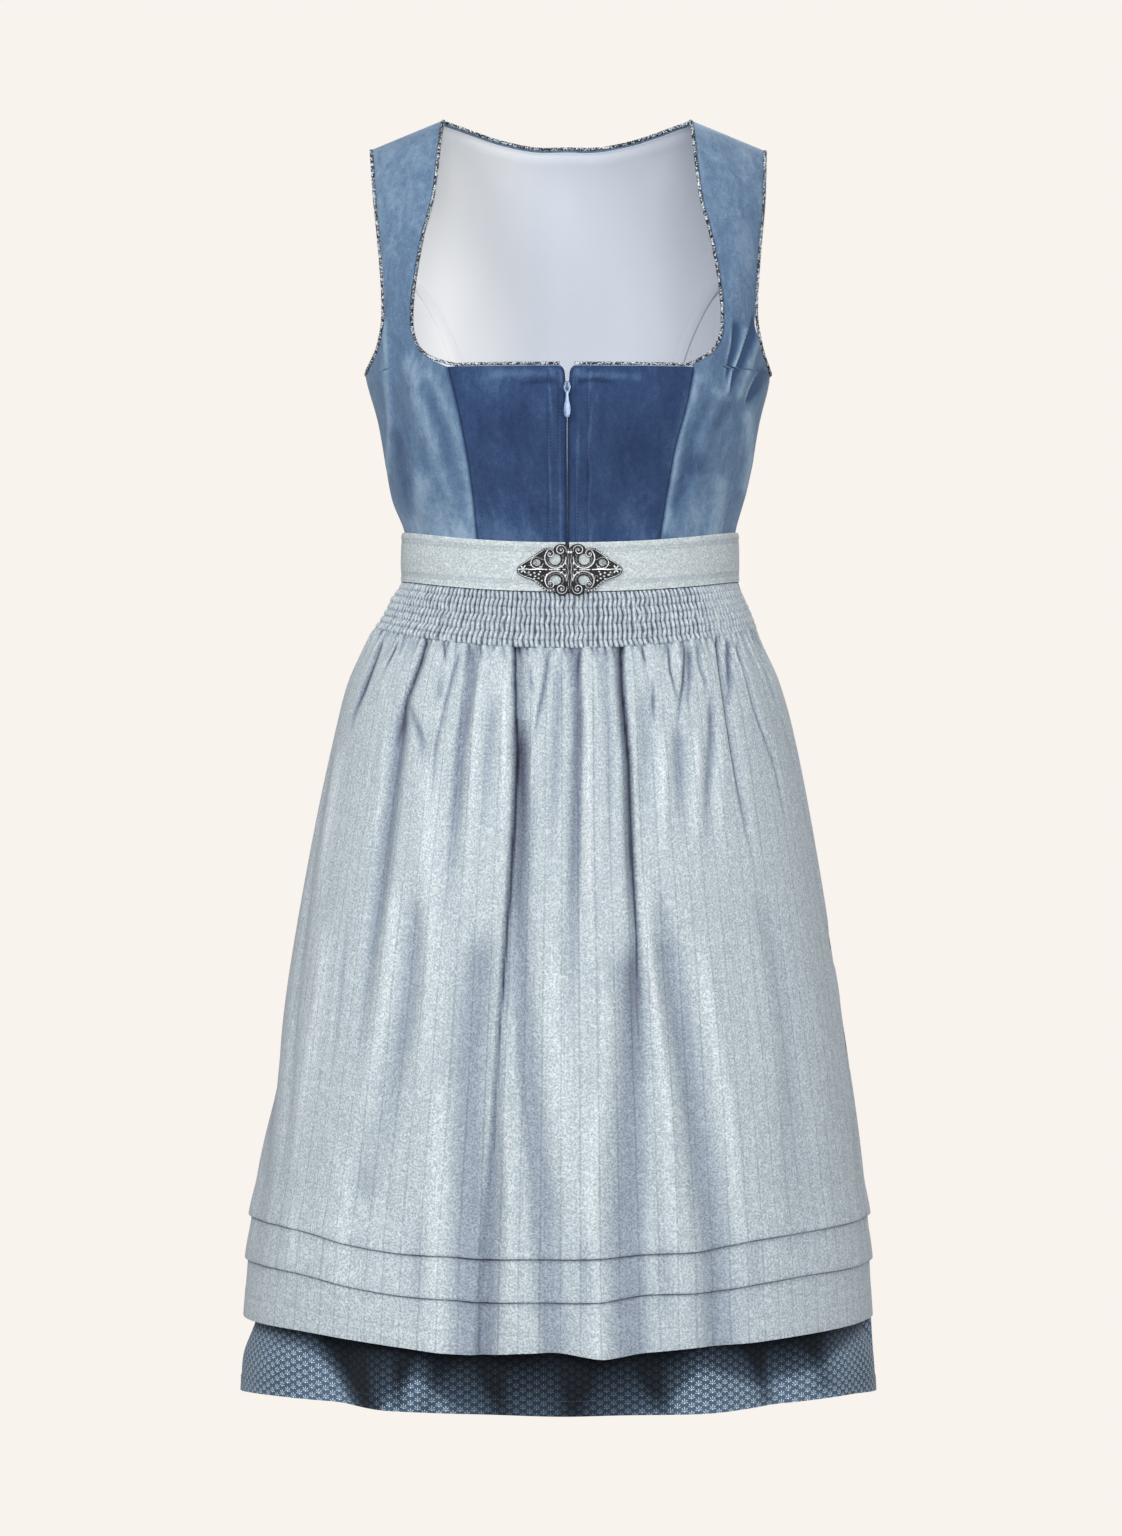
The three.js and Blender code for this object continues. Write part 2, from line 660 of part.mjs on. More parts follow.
// Both lie in the XY plane facing +Z, and turn up to stand and face the front.
const slider = add("zip_slider", sliderShape(), COLOURS.slider, 0.35, 0.8);
slider.rotation.x = Math.PI / 2;
slider.position.set(0, sliderFace, ZIP.bailZ);
const pull = add("zip_pull_tab", pullShape(), COLOURS.pull, 0.35, 0.7);
pull.rotation.x = Math.PI / 2;
pull.position.set(0, sliderFace - PULL.axisOut, ZIP.bailZ);

// ---- Apron waistband and smocked yoke ----

const BAND = { inner: 1.2, outer: 3.2, columns: 56, endAngle: 0.35 };
const YOKE = { plain: 1, gap: 0.4 };

const frontness = (angle) => Math.max(0, Math.cos(radians(angle))) ** 2;
const dipped = (angle, z) => z - read(FRONT_DIP, "z", z, "dip") * frontness(angle);

// Points round the form at a height, hanging lower at the front as the apron does.
function apronPoint(angle, z, out) {
  const place = { angle, z: dipped(angle, z) };
  return form(place.angle, place.z).addScaledVector(formNormal(place), out);
}

const bandRows = [HEIGHTS.bandTop, (HEIGHTS.bandTop + HEIGHTS.bandBottom) / 2, HEIGHTS.bandBottom];
const bandAngles = spread(BAND.endAngle, 360 - BAND.endAngle, BAND.columns);
const bandGrid = (out) => bandRows.map((z) => bandAngles.map((angle) => apronPoint(angle, z, out)));
add("apron_band", wall(bandGrid(BAND.outer), bandGrid(BAND.inner)), COLOURS.band, 0.6);

const yokeRows = [HEIGHTS.bandBottom - YOKE.gap, HEIGHTS.yokeBottom];
const yokeAngles = spread(APRON_EDGE.left, APRON_EDGE.right, SMOCKING_RIBS * 2);
const yokeOuter = yokeRows.map((z) =>
  yokeAngles.map((angle, i) => apronPoint(angle, z, YOKE.plain + (i % 2) * RIB_RISE)),
);
const yokeInner = yokeRows.map((z) =>
  yokeAngles.map((angle) => apronPoint(angle, z, YOKE.plain - THICKNESS.yoke)),
);
add("apron_yoke", wall(yokeOuter, yokeInner), COLOURS.apron, 0.6);

// ---- Apron panel ----

// The rows of the panel. Each tuck stands off the cloth along its fold, and the cloth goes back under it.
const TUCK = { lift: 2.4, under: 0.6 };
const APRON_ROWS = [
  { z: HEIGHTS.yokeBottom - YOKE.gap, lift: 0 },
  { z: -436, lift: 0 },
  { z: -480, lift: 0 },
  { z: -570, lift: 0 },
  { z: -710, lift: 0 },
  { z: -850, lift: 0 },
  { z: HEIGHTS.tuckOne, lift: TUCK.lift },
  { z: HEIGHTS.tuckOne - TUCK.under, lift: 0 },
  { z: HEIGHTS.tuckTwo, lift: TUCK.lift },
  { z: HEIGHTS.tuckTwo - TUCK.under, lift: 0 },
  { z: HEIGHTS.apronHem, lift: 0.6 },
];
const GATHER_FADE = 105;
const CREASE_START = 20;

// How far the apron's creases take its cloth in at a place. They open out below the yoke.
function creaseDepth(angle, z) {
  const radius = (read(FORM, "z", z, "left") + read(FORM, "z", z, "front")) / 2;
  const opened = Math.min(1, (HEIGHTS.yokeBottom - z) / CREASE_START);
  return APRON_CREASES.reduce((depth, crease) => {
    const column = (values) => APRON_CREASE_HEIGHTS.map((height, k) => ({ z: height, value: values[k] }));
    const x = read(column(crease.x), "z", z, "value");
    const away = radians(angle - angleAt(x, z)) * radius;
    return depth + opened * read(column(crease.depth), "z", z, "value") * bell(away, crease.width);
  }, 0);
}

const apronAngles = spread(APRON_EDGE.left, APRON_EDGE.right, GATHERS * 2);
function apronGrid(out, lifted) {
  return APRON_ROWS.map(({ z, lift }) => {
    const gathered = Math.max(0, 1 - (HEIGHTS.yokeBottom - z) / GATHER_FADE);
    return apronAngles.map((angle, i) => {
      const gather = ((i % 2) - 0.5) * GATHER_RISE * gathered;
      return apronPoint(angle, z, out + gather - creaseDepth(angle, z) + (lifted ? lift : 0));
    });
  });
}
const apronFace = apronGrid(YOKE.plain, false);
const apronInner = inward(apronFace, THICKNESS.apron);
// The top edge is cut level, so that it stays clear of the yoke where the cloth turns in below it.
apronInner[0].forEach((p, c) => {
  p.z = Math.min(p.z, apronFace[0][c].z);
});
add("apron_panel", wall(apronGrid(YOKE.plain, true), apronInner), COLOURS.apron, 0.6);

// ---- Skirt ----

const SKIRT_ROWS = [-361.4, -380, -398, -430, -510, -650, -820, -977, -1010, -1041];
const SKIRT_SIDE_SEAM = 95;
const SKIRT_HALF_SEAM = 0.07;
// How far the skirt lies inside the outer form at the centre front and at the sides under the apron.
const SKIRT_INSET = [
  { z: -361, centre: 0, side: 0 },
  { z: -380, centre: 1.8, side: 1.8 },
  { z: -400, centre: 5, side: 5 },
  { z: -430, centre: 13, side: 8 },
  { z: -500, centre: 17, side: 9 },
  { z: -640, centre: 19, side: 9.5 },
  { z: -977, centre: 17, side: 9.5 },
  { z: -1010, centre: 13, side: 0.5 },
  { z: -1041, centre: 10, side: 0 },
];
const UNCOVER = 7;

// 1 where the apron covers the skirt, falling to 0 just past its two side edges.
function covered(angle) {
  const signed = angle > 180 ? angle - 360 : angle;
  const past = Math.max(APRON_EDGE.left - 2 - signed, signed - APRON_EDGE.right);
  const t = Math.min(1, Math.max(0, 1 - past / UNCOVER));
  return t * t * (3 - 2 * t);
}

const GATHER_SKIRT = { rise: 2, top: -398, fade: 170 };
const FOLD_START = 80;
const SKIRT_COLUMNS = { front: 38, back: 52 };

function skirtOut(angle, z, odd) {
  const centre = read(SKIRT_INSET, "z", z, "centre");
  const side = read(SKIRT_INSET, "z", z, "side");
  const inset = (side + (centre - side) * frontness(angle)) * covered(angle);
  const hang = Math.min(1, Math.max(0, (GATHER_SKIRT.top - z) / FOLD_START));
  const down = Math.max(0, (z - GATHER_SKIRT.top) / (HEIGHTS.skirtHem - GATHER_SKIRT.top));
  const folds = BACK_FOLDS.reduce((depth, fold) => {
    return depth + (fold.hip + (fold.hem - fold.hip) * down) * bell(angle - fold.angle, fold.width);
  }, 0);
  const signed = angle > 180 ? angle - 360 : angle;
  const bulges = HEM_BULGES.reduce((out, b) => out + b.out * bell(signed - b.angle, b.width), 0);
  const below = Math.min(1, Math.max(0, (HEIGHTS.apronHem - z) / (HEIGHTS.apronHem - HEIGHTS.skirtHem)));
  const gathered = z > GATHER_SKIRT.top ? 0 : Math.max(0, 1 - (GATHER_SKIRT.top - z) / GATHER_SKIRT.fade);
  const gather = ((odd ? 1 : 0) - 0.5) * GATHER_SKIRT.rise * gathered * (1 - covered(angle));
  return bulges * below + gather - inset - folds * hang;
}

function skirtGrid(from, to, columns) {
  return SKIRT_ROWS.map((z) =>
    spread(from + SKIRT_HALF_SEAM, to - SKIRT_HALF_SEAM, columns).map((angle, i) => {
      const turned = Math.abs(angle > 180 ? 360 - angle : angle);
      const raised = z === HEIGHTS.skirtHem ? HEM_RISE.rise * bell(turned - HEM_RISE.angle, HEM_RISE.spread) : 0;
      const place = { angle, z: z + raised };
      return form(angle, place.z).addScaledVector(formNormal(place), skirtOut(angle, z, i % 2));
    }),
  );
}
const skirtFront = skirtGrid(-SKIRT_SIDE_SEAM, SKIRT_SIDE_SEAM, SKIRT_COLUMNS.front);
const skirtBack = skirtGrid(SKIRT_SIDE_SEAM, 360 - SKIRT_SIDE_SEAM, SKIRT_COLUMNS.back);
add("skirt_front", wall(skirtFront, inward(skirtFront, THICKNESS.skirt)), COLOURS.skirt, 0.8);
add("skirt_back", wall(skirtBack, inward(skirtBack, THICKNESS.skirt)), COLOURS.skirt, 0.8);

// ---- Filigree clasp ----

const CLASP = { x: 2, z: -372.4, lift: 1.3, plate: 1.2, relief: 2.2, halfGap: 0.15 };
// Outline of one half from the top of its spine to the foot, as distances out from the middle and up.
const CLASP_OUTLINE = [
  [0, 17],
  [2.4, 19.8],
  [7, 20.8],
  [11.2, 19],
  [13, 16.4],
  [19, 17.6],
  [24, 14.5],
  [32, 8.8],
  [39.4, 3.6],
  [41.4, 0],
  [39.4, -4.2],
  [28.4, -9.6],
  [24, -12.6],
  [20.6, -16.6],
  [16.4, -18.4],
  [12, -17],
  [10.6, -20],
  [6.4, -21.8],
  [2.2, -20.6],
  [0, -17.5],
];
// Rings of the filigree. Those with an opening are cut through.
const CLASP_RINGS = [
  { x: 11.2, z: 8.8, radius: 8.6, opening: 5.4 },
  { x: 10.9, z: -9.4, radius: 8.6, opening: 5.4 },
  { x: 25.9, z: 6, radius: 5.6, opening: 3.4 },
  { x: 7, z: 16.4, radius: 4, opening: 0 },
  { x: 6.4, z: -17.2, radius: 4.1, opening: 0 },
];
const CLASP_BEADS = [
  { x: 25.4, z: -4.6, radius: 2.6 },
  { x: 31.6, z: -3.2, radius: 2 },
  { x: 36.6, z: 0.6, radius: 3 },
];
const RING_WIRE = 1.3;
const RING_SIDES = 10;

// A point of the clasp, bent to lie on the waistband: u across, v up and w outwards.
function onBand(u, v, w) {
  const place = { angle: angleAt(CLASP.x + u, CLASP.z + v), z: CLASP.z + v };
  return form(place.angle, place.z).addScaledVector(formNormal(place), BAND.outer + CLASP.lift + w);
}

function claspHalf(sign) {
  const out = (x) => sign * (x + CLASP.halfGap);
  const outline = outlineOf(CLASP_OUTLINE.map(([x, z]) => [out(x), z]));
  const openings = CLASP_RINGS.filter((ring) => ring.opening > 0);
  const holes = openings.map((ring) => circle(out(ring.x), ring.z, ring.opening, RING_SIDES));
  const base = plate(outline, CLASP.plate, holes);
  const wires = CLASP_RINGS.map((ring) => {
    const inner = circle(out(ring.x), ring.z, ring.radius - RING_WIRE, RING_SIDES);
    return plate(circle(out(ring.x), ring.z, ring.radius, RING_SIDES), CLASP.relief, [inner]);
  });
  const beads = CLASP_BEADS.map((bead) => plate(circle(out(bead.x), bead.z, bead.radius, 6), CLASP.relief));
  const half = joined([base, ...wires, ...beads]);
  const position = half.attributes.position;
  for (let i = 0; i < position.count; i += 1) {
    const p = onBand(position.getX(i), position.getY(i), position.getZ(i));
    position.setXYZ(i, p.x, p.y, p.z);
  }
  return half;
}
add("buckle_left", claspHalf(-1), COLOURS.silver, 0.4, 0.9);
add("buckle_right", claspHalf(1), COLOURS.silver, 0.4, 0.9);

export default group;
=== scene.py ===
import math
import random

import bmesh
import bpy
import numpy as np
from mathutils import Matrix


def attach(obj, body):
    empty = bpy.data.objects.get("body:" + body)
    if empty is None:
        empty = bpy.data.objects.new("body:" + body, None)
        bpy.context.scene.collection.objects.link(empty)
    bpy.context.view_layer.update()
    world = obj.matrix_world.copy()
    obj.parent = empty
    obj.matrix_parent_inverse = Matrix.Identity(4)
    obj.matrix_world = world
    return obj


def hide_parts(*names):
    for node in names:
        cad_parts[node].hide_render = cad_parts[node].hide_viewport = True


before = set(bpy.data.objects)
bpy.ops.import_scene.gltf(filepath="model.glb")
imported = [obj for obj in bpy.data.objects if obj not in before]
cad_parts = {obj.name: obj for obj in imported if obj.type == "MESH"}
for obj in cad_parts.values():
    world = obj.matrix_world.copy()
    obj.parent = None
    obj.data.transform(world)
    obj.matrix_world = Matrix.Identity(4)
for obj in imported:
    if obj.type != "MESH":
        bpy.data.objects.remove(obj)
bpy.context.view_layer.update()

MM = 0.001
BODY = "dirndl"

# ---- Velvet bodice ----
# Two centre fronts, two side fronts with their straps, one back with the back straps and two side
# backs, cut in light blue cotton velvet, seamed along the princess lines and lined. The nap is crushed
# into lighter and darker streaks, and the cloth is pulled into soft folds below the arms. The highlights
# and shade of the folds, seams and stitching are painted into the velvet's colour.

UNDERARM = -210.0
WAIST = -361.0
# Height, half-widths left and right, half-depths front and back, power of the rounded outline.
FORM = [
    (0, 172, 174, 118, 98, 2.3), (-150, 172, 174, 118, 98, 2.3), (-210, 165, 167, 118, 98, 2.3),
    (-247, 155, 158, 117, 95, 2.3), (-280, 149, 152, 113, 91, 2.3), (-312, 143, 145, 104, 88, 2.3),
    (-338, 133, 138, 98, 87, 2.3), (-361, 132.5, 137.5, 98, 88, 2.3), (-379, 133.5, 138.5, 99, 90, 2.3),
    (-393, 142, 145, 103, 98, 2.25), (-409, 150, 152, 107, 106, 2.2), (-426, 162, 158, 112, 113, 2.15),
    (-458, 178, 173, 121, 124, 2.1), (-499, 189, 185, 130, 136, 2.05), (-573, 205, 200, 142, 148, 2),
    (-672, 223, 216.5, 153, 158, 2), (-795, 242, 235, 161, 167, 2), (-893, 257.5, 246, 167, 176, 2),
    (-967, 263, 249, 171, 182, 2), (-1042, 267, 253, 173, 186, 2),
]
LEFT, RIGHT, FRONT, BACK, ROUND = 1, 2, 3, 4, 5
SHOULDER_PROFILE = 1.9
SHOULDER_DROP = 24
NECK_POINT = 103
ARMHOLE_TOP = 161
BUST = {"angle": 36, "spread": 20, "z": -240, "reach": 46, "rise": 6}
NECK_EDGE = [
    (0, 103), (-68, 109.5), (-101, 117.5), (-143, 124.5), (-168, 126.3), (-183, 125), (-196, 119),
    (-204, 109), (-210, 96),
]
ARMHOLE_EDGE = [
    (0, 159, 161), (-60, 155.5, 159.5), (-120, 150, 154.5), (-165, 148, 152.5), (-190, 152.5, 157),
    (-202, 158.5, 161.5), (-207.5, 162.3, 164.4),
]
PRINCESS_FRONT = [(-210, 96, 102), (-240, 88.5, 96.5), (-275, 81.5, 87), (-309, 76.5, 81), (-361, 71, 72.5)]
PRINCESS_BACK = [(-112, 149), (-125, 130), (-150, 112), (-190, 95), (-250, 80), (-310, 69), (-361, 62)]
BACK_NECK = [(0, -19), (26, -19), (55, -14), (76, -8), (92, -3), (103, 0)]
NECK_DIP_REACH = 110
SEAM_HALF = 0.1
# Half the opening between the centre fronts, by height.
FRONT_EDGE = [
    (-210, 5.3), (-211.5, 3.7), (-214, 2.3), (-218, 1.7), (-224, 1.3), (-230, 0.6), (-236, 0.5),
    (-361, 0.5),
]
VELVET = 1.4
SEAM_ROLL = {"depth": 0.9, "reach": 1.7}
# Where the seams of the back meet the armholes.
BACK_SEAM_TOP = -112
# Half the gap between front and back where they meet at the shoulders.
SHOULDER_GAP = 0.15


def read(table, at, column=1):
    """Smooth curve through the rows of a table, by their first column."""
    rows = np.array(sorted(table), float)
    places, values = rows[:, 0], rows[:, column]
    at = np.clip(np.asarray(at, float), places[0], places[-1])
    i = np.clip(np.searchsorted(places, at, side="left") - 1, 0, len(places) - 2)
    slopes = np.gradient(values, places, edge_order=1)
    slopes[1:-1] = (values[2:] - values[:-2]) / (places[2:] - places[:-2])
    step = places[i + 1] - places[i]
    t = (at - places[i]) / step
    start = (2 * t**3 - 3 * t**2 + 1) * values[i] + (t**3 - 2 * t**2 + t) * step * slopes[i]
    return start + (3 * t**2 - 2 * t**3) * values[i + 1] + (t**3 - t**2) * step * slopes[i + 1]


def bell(distance, width):
    return np.exp(-((distance / width) ** 2))


def fall(z, start, reach):
    """0 down to a height, then rising evenly to 1 over a reach below it."""
    return np.clip((start - z) / reach, 0, 1)


def eased(share):
    return share * share * (3 - 2 * share)


def signed_power(value, power):
    return np.sign(value) * np.abs(value) ** power


def form(angle, z):
    """Points of the outer form. Angle 0 is the centre front and 90 the viewer's right."""
    angle, z = np.broadcast_arrays(np.asarray(angle, float), np.asarray(z, float))
    s, c = np.sin(np.radians(angle)), np.cos(np.radians(angle))
    width = np.where(s > 0, read(FORM, z, RIGHT), read(FORM, z, LEFT))
    depth = np.where(c > 0, read(FORM, z, FRONT), read(FORM, z, BACK))
    raised = np.maximum(0, 1 - z / UNDERARM)
    share = np.maximum(0, 1 - raised**SHOULDER_PROFILE) ** (1 / SHOULDER_PROFILE)
    bust = BUST["rise"] * bell(np.abs(angle) - BUST["angle"], BUST["spread"])
    bust = bust * bell(z - BUST["z"], BUST["reach"])
    power = 2 / read(FORM, z, ROUND)
    x = width * signed_power(s, power)
    y = -(depth * share + bust) * signed_power(c, power)
    outside = np.maximum(0, np.abs(x) - NECK_POINT)
    slope = SHOULDER_DROP / (ARMHOLE_TOP - NECK_POINT)
    return np.stack([x, y, z - outside * slope * raised**3], -1)


def form_normal(angle, z):
    across = form(angle + 1, z) - form(angle - 1, z)
    down = form(angle, z - 2) - form(angle, np.minimum(0, z + 2))
    outward = np.cross(down, across)
    return outward / np.linalg.norm(outward, axis=-1, keepdims=True)


def angle_at(x, z, back=False):
    """The angle on the form at which a point lies at x."""
    width = np.where(np.asarray(x) > 0, read(FORM, z, RIGHT), read(FORM, z, LEFT))
    share = np.minimum(1, np.abs(x) / width)
    front = np.sign(x) * np.degrees(np.arcsin(share ** (read(FORM, z, ROUND) / 2)))
    return 180 - front if back else front


def normals(grid):
    outward = np.cross(np.gradient(grid, axis=0), np.gradient(grid, axis=1))
    return outward / np.maximum(1e-9, np.linalg.norm(outward, axis=-1, keepdims=True))


def lengths(grid, axis):
    """Distance along the cloth from its first row or column."""
    steps = np.linalg.norm(np.diff(grid, axis=axis), axis=-1)
    start = np.zeros_like(np.take(steps, [0], axis=axis))
    return np.concatenate([start, np.cumsum(steps, axis=axis)], axis=axis)


def from_edges(grid):
    """Distance from the nearer side edge, along the cloth."""
    along = lengths(grid, 1)
    return np.minimum(along, along[:, -1:] - along)


def stroke(grid, points, width):
    """1 on a line drawn over the front or back as (x, z) points, fading away from it."""
    near = np.full(grid.shape[:2], 1e9)
    x, z = grid[..., 0], grid[..., 2]
    for (x0, z0), (x1, z1) in zip(points, points[1:]):
        run = (x1 - x0) ** 2 + (z1 - z0) ** 2
        t = np.clip(((x - x0) * (x1 - x0) + (z - z0) * (z1 - z0)) / run, 0, 1)
        near = np.minimum(near, np.hypot(x - x0 - t * (x1 - x0), z - z0 - t * (z1 - z0)))
    return bell(near, width)


def off_line(grid, points):
    """Distance across from a line that runs down the cloth, and the share of the line that lies above."""
    line = np.array(points, float)[::-1]
    x, z = grid[..., 0], grid[..., 2]
    return x - np.interp(z, line[:, 1], line[:, 0]), (line[-1, 1] - z) / (line[-1, 1] - line[0, 1])


def piece(name, points, faces, finish, uv=None, marks=None, sharp=50):
    """A mesh object at the origin from points in millimetres."""
    mesh = bpy.data.meshes.new(name)
    mesh.from_pydata((np.asarray(points) * MM).tolist(), [], faces, shade_flat=False)
    if uv is not None:
        corners = np.empty(len(mesh.loops), dtype=np.int32)
        mesh.loops.foreach_get("vertex_index", corners)
        mesh.uv_layers.new(name="flat").data.foreach_set("uv", uv[corners].astype(np.float32).ravel())
    for mark, values in (marks or {}).items():
        field = mesh.attributes.new(mark, "FLOAT", "POINT")
        field.data.foreach_set("value", np.asarray(values, dtype=np.float32).ravel())
    mesh.set_sharp_from_angle(angle=math.radians(sharp))
    mesh.materials.append(finish)
    made = bpy.data.objects.new(name, mesh)
    bpy.context.scene.collection.objects.link(made)
    return made


def cloth(name, outer, inner, finish, marks=None, width=None):
    """A closed thin sheet between two grids of points."""
    rows, columns = outer.shape[:2]
    out = np.arange(rows * columns).reshape(rows, columns)
    inn = out + rows * columns

    def quads(a, b, c, d):
        return np.stack([a.ravel(), b.ravel(), c.ravel(), d.ravel()], -1)

    faces = np.concatenate([
        quads(out[:-1, :-1], out[1:, :-1], out[1:, 1:], out[:-1, 1:]),
        quads(inn[:-1, :-1], inn[:-1, 1:], inn[1:, 1:], inn[1:, :-1]),
        quads(inn[:-1, 0], inn[1:, 0], out[1:, 0], out[:-1, 0]),
        quads(out[:-1, -1], out[1:, -1], inn[1:, -1], inn[:-1, -1]),
        quads(out[0, :-1], out[0, 1:], inn[0, 1:], inn[0, :-1]),
        quads(inn[-1, :-1], inn[-1, 1:], out[-1, 1:], out[-1, :-1]),
    ])
    down = lengths(outer, 0)
    if width is None:
        across = lengths(outer, 1)
        across = across - across.mean(axis=1, keepdims=True)
    else:
        across = np.broadcast_to(np.linspace(0, width, columns), (rows, columns))
    uv = np.stack([across, down], -1).reshape(-1, 2) * MM
    both = {mark: np.concatenate([values.ravel()] * 2) for mark, values in (marks or {}).items()}
    points = np.concatenate([outer.reshape(-1, 3), inner.reshape(-1, 3)])
    return piece(name, points, faces.tolist(), finish, np.concatenate([uv, uv]), both)


class Nodes:
    """The short calls that build the nodes of a tree."""

    def put(self, socket, value):
        if isinstance(value, bpy.types.NodeSocket):
            self.tree.links.new(value, socket)
        else:
            socket.default_value = value

    def node(self, kind, inputs=None, **settings):
        made = self.tree.nodes.new(kind)
        for key, value in settings.items():
            setattr(made, key, value)
        for key, value in (inputs or {}).items():
            self.put(made.inputs[key], value)
        return made

    def maths(self, operation, a, b=0.0, c=0.0, clamp=False):
        made = self.node("ShaderNodeMath", {0: a, 1: b, 2: c}, operation=operation, use_clamp=clamp)
        return made.outputs[0]


class Finish(Nodes):
    """A procedural material with noise, ramps, mixes and bumps."""

    def __init__(self, name, **constants):
        self.material = bpy.data.materials.new(name)
        self.material.use_nodes = True
        self.tree = self.material.node_tree
        self.shader = self.tree.nodes["Principled BSDF"]
        self.set(**constants)

    def set(self, **inputs):
        for key, value in inputs.items():
            self.put(self.shader.inputs[key.replace("_", " ")], value)

    def place(self, flat=False):
        made = self.node("ShaderNodeUVMap", uv_map="flat") if flat else self.node("ShaderNodeTexCoord")
        return made.outputs["UV" if flat else "Object"]

    def mark(self, name):
        return self.node("ShaderNodeAttribute", attribute_name=name).outputs["Fac"]

    def noise(self, vector, scale, detail=2.0, roughness=0.5, stretch=(1, 1, 1), distortion=0.0):
        mapped = self.node("ShaderNodeMapping", {"Vector": vector, "Scale": stretch}).outputs[0]
        values = {"Vector": mapped, "Scale": scale, "Detail": detail, "Roughness": roughness}
        values["Distortion"] = distortion
        return self.node("ShaderNodeTexNoise", values).outputs["Fac"]

    def ramp(self, fac, stops):
        made = self.node("ShaderNodeValToRGB", {"Fac": fac})
        while len(made.color_ramp.elements) < len(stops):
            made.color_ramp.elements.new(0.5)
        for element, (at, colour) in zip(made.color_ramp.elements, stops):
            element.position = at
            element.color = (*colour, 1)
        return made.outputs["Color"]

    def mix(self, fac, a, b, how="MIX"):
        made = self.node("ShaderNodeMix", {0: fac}, data_type="RGBA", blend_type=how)
        self.put(made.inputs[6], a if isinstance(a, bpy.types.NodeSocket) else (*a, 1))
        self.put(made.inputs[7], b if isinstance(b, bpy.types.NodeSocket) else (*b, 1))
        return made.outputs[2]

    def bump(self, height, strength, distance, below=None):
        values = {"Height": height, "Strength": strength, "Distance": distance}
        if below is not None:
            values["Normal"] = below
        return self.node("ShaderNodeBump", values).outputs["Normal"]


def paint(red, green, blue):
    """Linear colour of a paint mixed on a 0 to 255 scale."""
    return tuple(((v / 255 + 0.055) / 1.055) ** 2.4 if v > 10 else v / 3294 for v in (red, green, blue))


def velvet(name, deep, middle, light):
    made = Finish(name, Roughness=0.9, Sheen_Weight=0.3, Sheen_Roughness=0.45)
    made.set(Specular_IOR_Level=0.12, Sheen_Tint=(0.72, 0.84, 1, 1))
    place = made.place()
    streaks = made.noise(place, 34, 6, 0.66, (1.7, 1.7, 0.6), 0.8)
    clouds = made.noise(place, 13, 4, 0.6, (1, 1, 0.7), 0.5)
    crushed = made.noise(place, 170, 4, 0.7, (1.4, 1.4, 1), 0.4)
    grain = made.noise(place, 1000, 2, 0.65)
    # The mark brings painted highlights and painted shade of the folds, seams and stitching, and the painted
    # sheen of the straps, into the crushed nap.
    nap_and_painted_light = made.maths("MULTIPLY_ADD", clouds, 0.45, made.mark("nap_and_painted_light"))
    nap_and_painted_light = made.maths("MULTIPLY_ADD", streaks, 0.62, nap_and_painted_light)
    nap_and_painted_light = made.maths("MULTIPLY_ADD", crushed, 0.42, made.maths("SUBTRACT", nap_and_painted_light, 0.33))
    nap_and_painted_light = made.maths("MULTIPLY_ADD", grain, 0.42, made.maths("SUBTRACT", nap_and_painted_light, 0.2))
    made.set(Base_Color=made.ramp(nap_and_painted_light, [(0.08, deep), (0.46, middle), (0.95, light)]))
    pile = made.bump(grain, 0.45, 0.0006)
    made.set(Normal=made.bump(crushed, 0.3, 0.002, pile))
    return made.material


# The side panels, straps and back take a lighter copy of the velvet than the centre fronts, partly for the lie
# of their nap and partly as painted sheen.
side_velvet = velvet("velvet_side", paint(64, 88, 122), paint(102, 128, 158), paint(166, 190, 210))
centre_velvet = velvet("velvet_centre", paint(34, 50, 82), paint(54, 76, 114), paint(98, 126, 160))


def neck_x(z):
    return read(NECK_EDGE, z)


def armhole_x(z, side):
    return read(ARMHOLE_EDGE, z, side)


def zip_edge(z):
    return read(FRONT_EDGE, z)


def heights(top, bottom, step):
    return np.linspace(top, bottom, max(2, round(abs(top - bottom) / step) + 1))


def span(start, end, columns):
    share = np.linspace(0, 1, columns)
    return start[:, None] + (end - start)[:, None] * share


def left_to_right(sign, inner, outer, columns):
    """Angles between an inner and an outer edge, in rows that run to the viewer's right."""
    return span(outer, inner, columns) if sign < 0 else span(inner, outer, columns)


def front_side(side):
    sign = -1 if side == LEFT else 1
    z = np.concatenate([[0, -1.5, -4], heights(-8, UNDERARM + 2, 3.4), heights(UNDERARM, WAIST, 3.4)])
    edge = np.where(z > UNDERARM, neck_x(z), read(PRINCESS_FRONT, z, side))
    inner = angle_at(sign * edge, z) + sign * SEAM_HALF
    outer = np.where(z > UNDERARM, angle_at(sign * armhole_x(z, side), z), sign * (90 - SEAM_HALF))
    return left_to_right(sign, inner, outer, 74), z


def front_centre(side):
    sign = -1 if side == LEFT else 1
    z = np.concatenate([heights(UNDERARM, -236, 1.2), heights(-238, WAIST, 2.4)])
    inner = angle_at(sign * zip_edge(z), z)
    outer = angle_at(sign * read(PRINCESS_FRONT, z, side), z) - sign * SEAM_HALF
    return left_to_right(sign, inner, outer, 48), z


def back_height(x, z):
    return z + read(BACK_NECK, np.abs(x)) * np.maximum(0, 1 + z / NECK_DIP_REACH)


def back_centre():
    z = np.concatenate([[0, -1.5, -4], heights(-8, -110, 3.4), heights(BACK_SEAM_TOP, WAIST, 3.6)])
    share = np.linspace(1, -1, 84)
    seamed = (z <= BACK_SEAM_TOP)[:, None]
    armhole = np.where(share[None] < 0, armhole_x(z, LEFT)[:, None], armhole_x(z, RIGHT)[:, None])
    x = share * np.where(seamed, read(PRINCESS_BACK, z)[:, None], armhole)
    height = back_height(x, z[:, None])
    return angle_at(x, height, back=True), height


